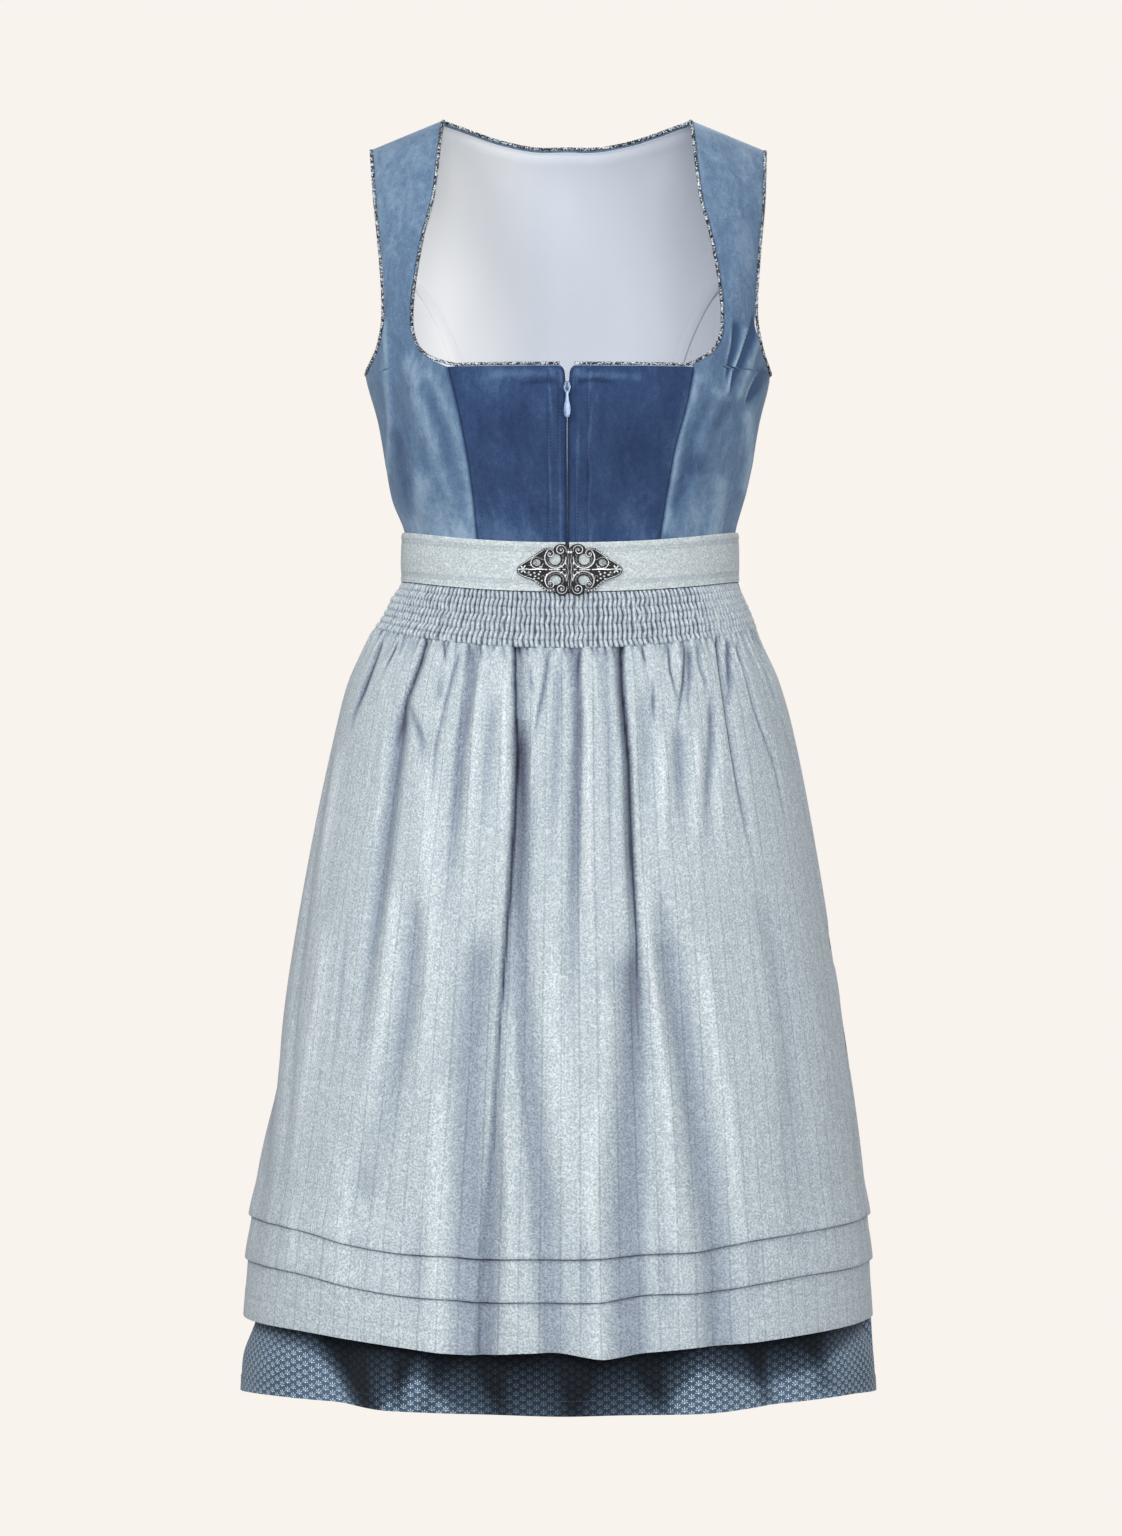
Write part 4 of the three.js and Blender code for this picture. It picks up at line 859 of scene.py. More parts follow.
chance = random.Random(11)
skirts = {}
for name, start, stop, columns in (
    ("skirt_front", -SKIRT["seam"], SKIRT["seam"], 300),
    ("skirt_back", SKIRT["seam"], 360 - SKIRT["seam"], 330),
):
    z = np.concatenate([heights(SKIRT_TOP, -470, 4.5), heights(-478, -960, 13), heights(-966, SKIRT_HEM, 5)])
    angle, z = np.meshgrid(np.linspace(start + SKIRT["half"], stop - SKIRT["half"], columns), z)
    turned = np.abs(np.where(angle > 180, 360 - angle, angle))
    height = z + fall(z, -1000, 41) * HEM_RISE["rise"] * bell(turned - HEM_RISE["angle"], HEM_RISE["spread"])
    out = skirt_out(angle, z, chance)
    out += TURN_UP["depth"] * fall(z, SKIRT_HEM + TURN_UP["height"], 2)
    outer = form(angle, height) + form_normal(angle, height) * out[..., None]
    # Painted shade in the troughs of the folds, outside the apron.
    mean = np.stack([np.convolve(np.pad(row, 14, "edge"), np.ones(29) / 29, "valid") for row in out])
    shade = 0.5 * np.clip((mean - out) / 4.5, 0, 1) * (1 - covered(angle))
    if name == "skirt_front":
        x = outer[..., 0]
        # Painted shadow of the apron's hem, fading down the skirt, and painted shade in the hollows of the
        # folds below it.
        below = APRON_HEM - read(FRONT_DIP, APRON_HEM) * frontness(angle) - height
        fading = np.clip(1.05 - np.maximum(0, below) / (read(HEM_SHADE, x, 1) + 6), 0, 1) ** 0.55
        low = np.clip((below + 40) / 20, 0, 1)
        shade += low * read(HEM_SHADE, x, 2) * fading * covered(angle)
        for line, width, dark in HEM_FOLDS:
            shade += dark * stroke(outer, line, width)
        shade = np.clip(shade, 0, 1)
    inner = outer - normals(outer) * SKIRT["thickness"]
    made = cloth(name + "_cotton", outer, inner, skirt_finish.material, {"shade": shade})
    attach(made, BODY)
    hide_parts(name)
    skirts[name] = outer

# ---- Apron ----
# Silvery satin jacquard: a straight waistband stitched twice along both edges, a yoke smocked in
# seven rows of fine upright tubes, and a gathered panel with two tucks above its hem.

BAND = {
    "top": -338, "bottom": -379, "out": 3.2, "thickness": 1.9, "end": 0.35, "crown": 0.5, "sewn": (5.6, 8.0),
}
YOKE = {"top": -379.4, "bottom": -417, "ribs": 109, "rows": 7, "rise": 2.2, "plain": 0.5}
APRON = {"thickness": 0.6, "width": 790, "plain": 1.0}
TUCKS = (-897, -932)
TUCK_LIFT = 2.6
# Rows of a tuck from the top down: height from its fold, lift and shadow.
TUCK_ROWS = [
    (24, 0.4, 0), (16, 1.4, 0), (8, 2.2, 0), (2.4, TUCK_LIFT, 0), (0.5, TUCK_LIFT, 0),
    (0, TUCK_LIFT - 0.4, 0.3), (0.2, TUCK_LIFT - 1.2, 0.9), (4, TUCK_LIFT - 1.5, 0.9),
    (3.6, TUCK_LIFT - 2.2, 0.9), (-0.2, 0.2, 0.8),
    (-1.6, 0, 0.12), (-4, 0, 0),
]
PUCKERS = {"soft": 64, "sharp": 84}
# The apron's folds. Each has its line over the front from the top down, its half-widths to the left and
# right, its depth, how much shade is painted in its hollow, and how dark a painted shade line runs along its
# crease.
APRON_FOLDS = [
    ([(-150, -428), (-162, -459), (-173, -488), (-176, -504)], 3, 4, 3, 0.5, 0.25),
    ([(-136, -429), (-149, -455)], 1.2, 2.4, 1.6, 0.3, 0.4),
    ([(-113, -424), (-119, -445), (-126, -464), (-132, -480), (-140, -516)], 1.6, 5, 5, 0.3, 0.75),
    ([(-132, -476), (-140, -540), (-152, -636), (-162, -715), (-170, -787)], 6, 7.5, 6, 0.42, 0),
    ([(-99, -428), (-97, -447)], 1.2, 1.6, 1.6, 0.3, 0.5),
    ([(-86, -436), (-97, -476), (-105, -512), (-107, -548), (-113, -580)], 1.4, 3, 2, 0.14, 0.35),
    ([(-128, -478), (-122, -494), (-116, -510), (-116, -530)], 3, 4, 2.6, 0.32, 0),
    ([(-101, -455), (-103, -480)], 3.4, 3.4, 2, 0.36, 0),
    ([(-78, -432), (-79, -460), (-87, -516), (-93, -596), (-97, -667)], 3, 7, 6, 0.34, 0),
    ([(-58, -470), (-63, -524), (-67, -590)], 5, 5, 2, 0.2, 0),
    ([(-42, -424), (-42, -460), (-41, -524), (-43, -572), (-47, -635), (-51, -690), (-55, -745), (-58, -808),
      (-62, -871), (-65, -918), (-69, -988)], 1.5, 8, 9, 0.25, 1),
    ([(-40, -492), (-37, -556), (-40, -635), (-38, -713), (-31, -792), (-21, -870),
      (-12, -990)], 5, 10, 7, 0.36, 0),
    ([(-67, -660), (-74, -714), (-80, -792), (-78, -871), (-78, -990)], 12, 13, 6, 0.36, 0),
    ([(-14, -435), (-19, -469), (-27, -508), (-30, -530)], 1.8, 3, 2.6, 0.2, 0.35),
    ([(-31, -448), (-28, -472)], 2.2, 2.2, 2, 0.42, 0),
    ([(-6, -440), (-9, -524), (-11, -580), (-13, -640)], 4, 4, 2.4, 0.22, 0),
    ([(8, -432), (10, -492), (8, -587), (6, -674), (5, -770)], 6, 2.4, 6, 0.42, 0),
    ([(30, -436), (34, -524), (35, -580), (31, -640)], 4, 4, 2, 0.16, 0),
    ([(43, -424), (45, -468), (50, -524), (52, -595), (56, -666), (57, -729), (57, -790)], 5, 1.6, 9, 0.42, 1),
    ([(53, -670), (55, -761), (53, -831), (51, -910), (54, -990)], 14, 8, 7, 0.42, 0),
    ([(60, -462), (63, -508), (61, -548), (58, -590)], 6, 6, 2, 0.16, 0),
    ([(68, -460), (69, -496)], 1.6, 1.8, 1.6, 0.5, 0.1),
    ([(59, -430), (63, -452)], 1.2, 1.4, 1.2, 0.3, 0.4),
    ([(81, -430), (82, -452), (86, -468), (90, -480)], 1.4, 2, 2, 0.2, 0.45),
    ([(94, -430), (93, -460), (90, -479), (88, -500)], 1.4, 2.6, 2.4, 0.25, 0.55),
    ([(89, -490), (91, -540), (91, -590)], 6, 6, 3, 0.26, 0),
    ([(98, -434), (98, -460), (96, -484)], 2.4, 2.6, 2, 0.42, 0),
    ([(104, -430), (106, -448), (111, -462), (109, -480)], 1.8, 2, 1.8, 0.3, 0),
    ([(116, -470), (116, -508), (112, -556), (112, -600)], 3.6, 3.6, 3, 0.34, 0),
    ([(120, -426), (123, -452), (129, -496), (136, -540), (143, -580), (150, -610)], 1.6, 4.5, 4, 0.16, 0.6),
    ([(129, -426), (130, -448), (131, -468), (129, -484)], 2.4, 2.8, 2.4, 0.5, 0),
    ([(136, -430), (151, -484), (160, -508), (168, -532), (177, -580)], 1.4, 3, 2, 0.1, 0.4),
    ([(151, -424), (166, -467), (180, -508), (189, -548), (199, -589), (206, -638), (222, -704), (232, -801),
      (239, -893), (241, -979)], 1.4, 4, 3, 0.14, 0.6),
    ([(73, -630), (77, -658)], 5, 5, 2, 0.32, 0),
    ([(76, -650), (83, -698), (95, -761), (106, -832), (117, -911), (121, -990)], 9, 11, 6, 0.36, 0),
    ([(-121, -630), (-127, -715), (-141, -794), (-160, -872)], 9, 9, 5, 0.3, 0),
    ([(-163, -842), (-160, -876)], 7, 6, 2, 0.26, 0),
    ([(-178, -650), (-183, -716), (-190, -790)], 3, 3, 1.6, 0.1, 0),
    ([(156, -630), (169, -684), (178, -748), (186, -875), (190, -979)], 10, 12, 3, 0.12, 0),
    ([(-216, -560), (-232, -700), (-246, -840), (-252, -979)], 7, 7, 5, 0.2, 0),
    ([(-192, -520), (-206, -600), (-220, -720), (-236, -979)], 4, 5, 2.4, 0.1, 0),
    ([(-118, -880), (-122, -979)], 4, 6, 2, 0.16, 0), ([(16, -890), (14, -979)], 3, 7, 2.6, 0.26, 0),
    ([(76, -900), (80, -979)], 3, 4, 2, 0.2, 0), ([(150, -900), (152, -979)], 3, 3, 1.4, 0.12, 0),
]
# Ridges between the folds, where the satin shines, raised and painted lighter as a highlight: line, half-width
# and strength.
APRON_RIDGES = [
    ([(-195, -650), (-200, -717), (-212, -790), (-223, -870)], 8, 0.16),
    ([(-137, -620), (-145, -715), (-169, -840)], 7, 0.16),
    ([(-113, -520), (-110, -635), (-107, -714), (-112, -790)], 8, 0.17),
    ([(-52, -440), (-49, -524), (-56, -610)], 4, 0.17), ([(18, -470), (18, -595), (20, -720)], 3, 0.17),
    ([(32, -700), (27, -820)], 7, 0.12), ([(77, -500), (77, -600)], 4, 0.17),
    ([(104, -500), (102, -600)], 4, 0.16), ([(123, -500), (123, -600)], 4, 0.12),
    ([(62, -619), (65, -682), (73, -745), (80, -792), (89, -960)], 4.5, 0.17),
    ([(105, -670), (117, -738), (127, -794), (146, -960)], 7, 0.17),
    ([(-11, -680), (-6, -807), (8, -900)], 9, 0.15), ([(26, -780), (19, -870), (26, -984)], 7, 0.17),
    ([(-51, -710), (-51, -792), (-47, -870), (-47, -960)], 5, 0.16),
    ([(-184, -510), (-196, -597), (-203, -650)], 6, 0.16),
    ([(-144, -500), (-150, -556), (-160, -600)], 4, 0.17),
    ([(-71, -455), (-75, -540), (-82, -655)], 3.4, 0.16),
    ([(-22, -461), (-29, -524), (-31, -600)], 2.4, 0.17),
    ([(-100, -780), (-102, -871), (-103, -985)], 9, 0.14), ([(-218, -877), (-222, -949)], 7, 0.12),
    ([(-177, -835), (-181, -914), (-172, -975)], 10, 0.13),
]
# How far the two tucks and the hem rise above a level line, by place across.
HEM_WAVES = [
    (-262, 1, 1, 1), (-214, 3, 3.4, 3.8), (-172, -1, 0, 3.2), (-132, -2.4, -2, 1.6), (-92, -1, -1.5, -0.7),
    (-69, -1.6, -2.5, -0.5), (-37, 0, -0.7, 2.4), (-6, 0.2, -0.6, 3), (26, 0.5, -0.5, -2.1),
    (41, 1.4, 1.5, -1.4), (65, 2.6, 4.4, 2), (105, 1.4, 2.6, 3.5), (129, 3.5, 3, 3.2), (145, 5, 4, 3),
    (186, 4.6, 4.7, 3), (230, 2.8, 1.4, 2),
]


def dipped(angle, z):
    return z - read(FRONT_DIP, z) * frontness(angle)


def apron_grid(angle, z, out):
    low = dipped(angle, z)
    return form(angle, low) + form_normal(angle, low) * out[..., None]


def along_line(grid, points, steep):
    """Distance across from a fold's line, and how strong the fold is between its two ends."""
    away, down = off_line(grid, points)
    top, foot = points[0][1], points[-1][1]
    start = (6 if top > YOKE["bottom"] - 22 else 24) / (top - foot)
    ends = np.clip(down / start + 0.15, 0, 1)
    return away * steep, ends if foot < APRON_HEM else ends * np.clip((1 - down) / 0.5, 0, 1)


def waves(x, z):
    """How much the tucks and the hem wander up and down."""
    tuck_one, tuck_two, hem = (read(HEM_WAVES, x, k) for k in (1, 2, 3))
    low = np.where(z > TUCKS[1], tuck_two + (tuck_one - tuck_two) * (z - TUCKS[1]) / (TUCKS[0] - TUCKS[1]),
                   hem + (tuck_two - hem) * (z - APRON_HEM) / (TUCKS[1] - APRON_HEM))
    return np.where(z > TUCKS[0], tuck_one * np.clip((z + 800) / (TUCKS[0] + 800), 0, 1), low)


def satin(name, light, dark, stripes):
    """Jacquard satin: winding scrolls and upright pin stripes in one tone, with a glittering grain."""
    made = Finish(name, Roughness=0.5, Sheen_Weight=0.1, Sheen_Roughness=0.4, Specular_IOR_Level=0.3)
    flat, maths = made.place(flat=True), made.maths
    warp = made.noise(flat, 520, 2, 0.6, (1, 0.01, 1))
    figure = made.noise(flat, 150, 1, 0.5, (1, 1, 1), 2.2)
    scroll = maths("MULTIPLY_ADD", maths("ABSOLUTE", maths("SUBTRACT", figure, 0.5)), -13.0, 1.0, clamp=True)
    grain = made.noise(flat, 560, 3, 0.85)
    across = made.node("ShaderNodeSeparateXYZ", {0: flat}).outputs[0]
    near = maths("ABSOLUTE", maths("SUBTRACT", maths("FRACT", maths("DIVIDE", across, 0.0155)), 0.5))
    pin = maths("MULTIPLY_ADD", near, -14.0, 1.0, clamp=True)
    tone = maths("MULTIPLY_ADD", warp, stripes, 0.47 - stripes / 2)
    tone = maths("MULTIPLY_ADD", scroll, 0.5, maths("SUBTRACT", tone, 0.09))
    tone = maths("MULTIPLY_ADD", pin, -stripes * 0.6, tone)
    tone = maths("MULTIPLY_ADD", grain, 2.4, maths("SUBTRACT", tone, 1.2))
    colour = made.ramp(tone, [(0.15, dark), (0.85, light)])
    # The shade mark multiplies in painted shade, turning violet in the deep folds, and painted highlights where
    # it lies below NEUTRAL.
    stops = [(0, (1, 1, 1)), (0.17, (0.83, 0.85, 0.86)), (0.4, (0.54, 0.57, 0.64)), (0.7, (0.27, 0.28, 0.36))]
    tint = made.ramp(made.mark("shade"), [*stops, (1, (0.07, 0.07, 0.1))])
    made.set(Base_Color=made.mix(1.0, colour, tint, "MULTIPLY"))
    made.set(Roughness=maths("MULTIPLY_ADD", grain, 0.5, 0.25))
    made.set(Normal=made.bump(maths("MULTIPLY_ADD", grain, 0.8, scroll), 0.3, 0.0005))
    return made.material


# Shade mark with nothing painted: above it the satin is painted darker as shade, below it lighter as a
# highlight.
NEUTRAL = 0.17
apron_satin = satin("apron_satin", paint(240, 247, 250), paint(170, 182, 190), 0.5)
band_cloth = satin("apron_band_cloth", paint(240, 246, 247), paint(184, 194, 196), 0.0)

band_tall = BAND["top"] - BAND["bottom"]
angle = np.linspace(BAND["end"], 360 - BAND["end"], 260)
angle, z = np.meshgrid(angle, np.linspace(BAND["top"], BAND["bottom"], 45))
share = (BAND["top"] - z) / band_tall
edge = np.minimum(share, 1 - share) * band_tall
out = BAND["out"] + BAND["crown"] * np.sin(np.pi * share) - 0.8 * bell(edge, 1.6)
for seam in BAND["sewn"]:
    out -= 0.45 * bell(edge - seam, 0.8)
out += 0.25 * np.sin(angle * 1.7 + 3 * share) * bell(edge - 11, 8)
outer = apron_grid(angle, z, out)
inner = apron_grid(angle, z, np.full_like(out, BAND["out"] - BAND["thickness"]))
# Painted shade along the stitched grooves near both edges, and a painted highlight along the rounded edges.
shade = NEUTRAL + 0.12 * sum(bell(edge - seam, 0.9) for seam in BAND["sewn"]) - 0.1 * bell(edge, 1.2)
band = cloth("apron_band_cloth", outer, inner, band_cloth, {"shade": shade})
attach(band, BODY)
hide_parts("apron_band")
band_outer = outer

ribs, rows = YOKE["ribs"], YOKE["rows"]
z = np.linspace(YOKE["top"], YOKE["bottom"], rows * 6 + 1)
turn, z = np.meshgrid(np.linspace(0, ribs, ribs * 8 + 1), z)
down = (YOKE["top"] - z) / (YOKE["top"] - YOKE["bottom"]) * rows
spread = np.random.default_rng(5)
shift = spread.uniform(-0.16, 0.16, (rows + 2, ribs + 2))
full = spread.uniform(0.72, 1.1, (rows + 1, ribs + 2))
row_at, rib_at = np.floor(down).astype(int), np.clip(np.round(turn), 0, ribs).astype(int)
between = down - row_at
# Each tube wanders a little from row to row, and the tubes of one row lean against those of the next.
sway = shift[row_at, rib_at] * (1 - between) + shift[row_at + 1, rib_at] * between
sway += 0.12 * (2 * between - 1) * np.where(row_at % 2, 1, -1)
beat = np.abs(np.cos(np.pi * (turn + sway)))
puff = 0.45 + 0.55 * np.sin(np.pi * between) ** 0.5
angles = np.linspace(*APRON_EDGE, 400)
arc = lengths(form(angles, np.full(400, -400.0))[None], 1)[0]
angle = np.interp(turn / ribs * arc[-1], arc, angles)
# The smocking is flatter toward its right end.
calm = 1 - 0.6 * np.clip((angle - 42) / 8, 0, 1)
rise = YOKE["rise"] * full[row_at, rib_at] * puff * calm * beat**0.8
# Painted shade darkens the gaps between the tubes and between the rows; each tube also differs a little in tone
# at random.
tone = spread.uniform(-0.07, 0.07, (rows + 1, ribs + 2))[row_at, rib_at]
shade = NEUTRAL - 0.08 + tone + 0.9 * calm * (1 - beat) ** 1.8
shade += 0.2 * calm * (1 - np.sin(np.pi * between) ** 0.4)
outer = apron_grid(angle, z, YOKE["plain"] + rise - 0.4 * calm * (1 - beat) ** 3)
inner = apron_grid(angle, z, np.full_like(rise, -0.3))
yoke = cloth("apron_yoke_smocked", outer, inner, apron_satin, {"shade": shade}, APRON["width"])
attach(yoke, BODY)
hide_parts("apron_yoke")

# Rows of the panel as height, lift and shadow. Each tuck folds down over the cloth below it.
rows = [(z, 0, 0) for z in heights(YOKE["bottom"] + 3, -500, 3)]
rows += [(z, 0, 0) for z in heights(-508, -866, 12.5)]
for tuck in TUCKS:
    rows += [(tuck + up, lift, dark) for up, lift, dark in TUCK_ROWS]
rows += [(-945, 0.1, 0), (-954, 0.4, 0), (-958.6, 0.8, 0), (-960, 0.6, 0.1), (-961.4, 0.8, 0), (-970, 1, 0)]
rows += [(-978, 1.1, 0), (-979, 0.9, 0)]
z, lift, under = (np.array(v, float)[:, None] for v in zip(*rows))
angle = np.linspace(*APRON_EDGE, 521)[None] + 0 * z
z, lift, under = z + 0 * angle, lift + 0 * angle, under + 0 * angle
flat = apron_grid(angle, z, np.zeros_like(z))
# Toward the sides the cloth turns away, so the folds drawn over the front grow narrower there.
steep = np.clip(np.abs(form_normal(angle, z)[..., 1]), 0.12, 1) ** -0.6
depth, shade = np.zeros_like(angle), np.full_like(angle, NEUTRAL)
for line, left, right, deep, dark, crease in APRON_FOLDS:
    away, ends = along_line(flat, line, steep)
    # A fold widens on its way down, and its crease has faded out above the tucks.
    wide = np.where(away < 0, left, right) * (1 + 0.3 * fall(z, -500, 400)) + 2.5 * fall(z, -780, 80)
    # Its hollow and its crease are painted darker.
    depth += deep * ends * bell(away, wide)
    shade += dark * (1.15 - 0.4 * fall(z, -480, 150)) * ends * bell(away, wide * 0.95)
    crease *= (1 - 0.85 * fall(z, -600, 200)) * (1 - fall(z, -825, 60))
    shade += crease * ends * bell(away, 0.75)
for line, wide, strength in APRON_RIDGES:
    away, ends = along_line(flat, line, steep)
    depth -= 12 * strength * ends * bell(away, wide)
    shade -= 1.1 * strength * ends * bell(away, wide)
chance = random.Random(4)
gathers, apron_span = np.zeros_like(angle), APRON_EDGE[1] - APRON_EDGE[0]
for k in range(PUCKERS["soft"]):
    at = APRON_EDGE[0] + (k + 0.5 + chance.uniform(-0.3, 0.3)) * apron_span / PUCKERS["soft"]
    rise, length = chance.uniform(1.2, 2.6), chance.choice([16, 22, 30, 40, 55, 75])
    lean, width = chance.uniform(-0.02, 0.02) + at * 0.0004, chance.uniform(1.6, 2.8)
    gathers += ridge(angle, z, at, YOKE["bottom"], length, lean, width, rise)
for k in range(PUCKERS["sharp"]):
    at = APRON_EDGE[0] + (k + 0.5 + chance.uniform(-0.4, 0.4)) * apron_span / PUCKERS["sharp"]
    length, lean = chance.choice([7, 10, 13, 18, 26]), chance.uniform(-0.12, 0.12)
    pinch = ridge(angle, z, at, YOKE["bottom"], length, lean, chance.uniform(0.8, 1.3), 1)
    gathers -= 1.3 * pinch
    # Each sharp pinch is painted darker as shade.
    shade += chance.uniform(0.2, 0.7) * pinch
# The painted shadow below the tucks is stronger in some places across.
under *= 0.62 + 0.32 * bell(flat[..., 0] + 75, 13) + 0.12 * np.sin(flat[..., 0] / 11)
top = fall(z, YOKE["bottom"] + 3, 4)
out = APRON["plain"] - 1.1 + top * 0.6 + (gathers - depth) * top + lift
outer = apron_grid(angle, z + waves(flat[..., 0], z), out)
inner = outer - normals(outer) * APRON["thickness"]
shade = np.clip(shade + under, 0, 1)
panel = cloth("apron_panel_satin", outer, inner, apron_satin, {"shade": shade}, APRON["width"])
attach(panel, BODY)
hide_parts("apron_panel")
panel_outer, hem_row = outer, len(rows) - 5

# ---- Stitching ----
# Lockstitch in polyester thread: two rows along each edge of the waistband, one above each hem, and
# four rows beside the zip.

stitch = Steps("stitch_row", Pitch="Float", Thick="Float", Long="Float", Finish="Material")
spaced = {"Curve": stitch.ins["Geometry"], "Length": stitch.ins["Pitch"]}
spots = stitch.node("GeometryNodeCurveToPoints", spaced, mode="LENGTH").outputs
bead = stitch.node("GeometryNodeMeshUVSphere", {"Segments": 6, "Rings": 4, "Radius": 1.0}).outputs[0]
thick, long = stitch.ins["Thick"], stitch.ins["Long"]
size = stitch.node("ShaderNodeCombineXYZ", {0: thick, 1: thick, 2: long}).outputs[0]
sewn = {"Points": spots["Points"], "Instance": bead, "Rotation": spots["Rotation"], "Scale": size}
stitch.end(stitch.node("GeometryNodeInstanceOnPoints", sewn).outputs[0])


def thread_finish(name, colour):
    made = Finish(name, Roughness=0.55, Sheen_Weight=0.2)
    fibre = made.noise(made.place(), 2600, 1, 0.5)
    made.set(Base_Color=made.ramp(fibre, [(0.3, tuple(0.75 * c for c in colour)), (0.7, colour)]))
    made.set(Normal=made.bump(fibre, 0.3, 0.0002))
    return made.material


def grid_line(grid, row, lift):
    """The path along one row of a grid, at a share of a row, lifted off the cloth."""
    low = min(int(row), len(grid) - 2)
    path = grid[low] + (grid[low + 1] - grid[low]) * (row - low)
    return path + normals(grid)[low] * lift


def sew(name, paths, pitch, finish, on=0.22, share=0.42):
    """Rows of stitches along paths in millimetres."""
    values = {"Pitch": pitch * MM, "Thick": on * MM, "Long": pitch * share * MM, "Finish": finish}
    made = grown(name, lines(name + "_path", paths), stitch, **values)
    for face in made.data.polygons:
        face.use_smooth = True
    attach(made, BODY)


band_rows = len(band_outer) - 1
near, far = BAND["sewn"]
at_rows = [band_rows * edge / band_tall for edge in (near, far, band_tall - far, band_tall - near)]
pale_thread = thread_finish("thread_pale", paint(206, 214, 218))
paths = [grid_line(band_outer, row, 0.12) for row in at_rows]
sew("apron_band_stitching", paths, 3.0, pale_thread)
sew("apron_hem_stitching", [grid_line(panel_outer, hem_row, 0.1)], 3.0, pale_thread)
paths = [grid_line(grid, len(grid) - 1 - 2.4, 0.1) for grid in skirts.values()]
dark_thread = thread_finish("thread_dark", paint(52, 74, 102))
sew("skirt_hem_stitching", paths, 3.0, dark_thread)
z = heights(UNDERARM - 1.5, WAIST + 9, 3)
paths = []
for x in TOPSTITCHES:
    angle = angle_at(x, z)
    paths.append(form(angle, z) - form_normal(angle, z) * 0.36)
blue_thread = thread_finish("thread_blue", paint(92, 122, 164))
sew("front_topstitching", paths, 2.6, blue_thread, 0.2)

# ---- Zip ----
# A coil zip sewn behind the centre fronts. Its painted slider sits at the foot of the small notch,
# and a long pull tab hangs in the slider's bail.

ZIP = {"gap": 0.2, "reach": 9, "top": -222.5, "bail": -226.8, "depth": 2.1, "thickness": 0.7}
TEETH = {"pitch": 1.7, "top": -236, "bottom": -292, "off": 0.1, "depth": 0.35}
SLIDER = {"face": -120.731, "back": -118.33, "thickness": 2.4, "bevel": 0.4}
BAIL = {"radius": 2.45, "wire": 0.5, "beside": 0.35}
PULL = {"axis": -121.731, "thickness": 1.2}

zip_cloth = Finish("zip_tape_weave", Roughness=0.7, Sheen_Weight=0.1)
weave = zip_cloth.noise(zip_cloth.place(flat=True), 1200, 1, 0.5, (1, 0.3, 1))
zip_cloth.set(Base_Color=zip_cloth.ramp(weave, [(0.3, paint(24, 34, 54)), (0.7, paint(40, 54, 82))]))
zip_cloth.set(Normal=zip_cloth.bump(weave, 0.5, 0.0005))
painted = Finish("zip_painted_metal", Roughness=0.3, Metallic=0.35, Coat_Weight=0.4, Coat_Roughness=0.2)
speck = painted.noise(painted.place(), 420, 3, 0.6)
painted.set(Base_Color=painted.ramp(speck, [(0.35, paint(94, 114, 146)), (0.65, paint(122, 144, 176))]))
painted.set(Normal=painted.bump(speck, 0.12, 0.0003))
coil = Finish("zip_coil", Roughness=0.4, Specular_IOR_Level=0.5)
gleam = [(0.3, paint(170, 184, 206)), (0.7, paint(226, 234, 244))]
coil.set(Base_Color=coil.ramp(coil.noise(coil.place(), 900, 1), gleam))

for word, side, sign in SIDES:
    z = heights(ZIP["top"], WAIST, 4)
    angle = left_to_right(sign, angle_at(sign * ZIP["gap"], z), angle_at(sign * ZIP["reach"], z), 6)
    height = np.broadcast_to(z[:, None], angle.shape)
    outward = form_normal(angle, height)
    outer = form(angle, height) - outward * ZIP["depth"]
    inner = outer - outward * ZIP["thickness"]
    made = cloth("zip_tape_" + word + "_weave", outer, inner, zip_cloth.material)
    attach(made, BODY)
    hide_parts("zip_tape_" + word)

z = heights(TEETH["top"], TEETH["bottom"], 3)
angles = [angle_at(x, z) for x in (-TEETH["off"], TEETH["off"])]
paths = [form(angle, z) - form_normal(angle, z) * TEETH["depth"] for angle in angles]
sew("zip_coil", paths, TEETH["pitch"], coil.material, 0.26, 0.17)


def tube(path, radius, sides=8):
    """Points and faces of a round wire along a path, closed at both ends."""
    path = np.asarray(path, float)
    radius = np.broadcast_to(radius, len(path))
    along = np.gradient(path, axis=0)
    along /= np.linalg.norm(along, axis=1, keepdims=True)
    side = np.cross(along[0], (0.31, 0.17, 0.94))
    turns = np.linspace(0, 2 * np.pi, sides, endpoint=False)
    rings = []
    for spot, forward, thick in zip(path, along, radius):
        side = side - forward * side.dot(forward)
        side /= np.linalg.norm(side)
        up = np.cross(forward, side)
        rings.append(spot + thick * (np.outer(np.cos(turns), side) + np.outer(np.sin(turns), up)))
    points = np.concatenate([*rings, path[:1], path[-1:]])
    faces = []
    for i in range(len(path) - 1):
        for k in range(sides):
            a, b = i * sides + k, i * sides + (k + 1) % sides
            faces.append([a, b, b + sides, a + sides])
    start, stop, last = len(points) - 2, len(points) - 1, (len(path) - 1) * sides
    faces += [[start, (k + 1) % sides, k] for k in range(sides)]
    faces += [[stop, last + k, last + (k + 1) % sides] for k in range(sides)]
    return points, faces


def joined(shapes):
    points, faces, count = [], [], 0
    for some, sides in shapes:
        points.append(np.asarray(some, float))
        faces += [[count + i for i in side] for side in sides]
        count += len(some)
    return np.concatenate(points), faces


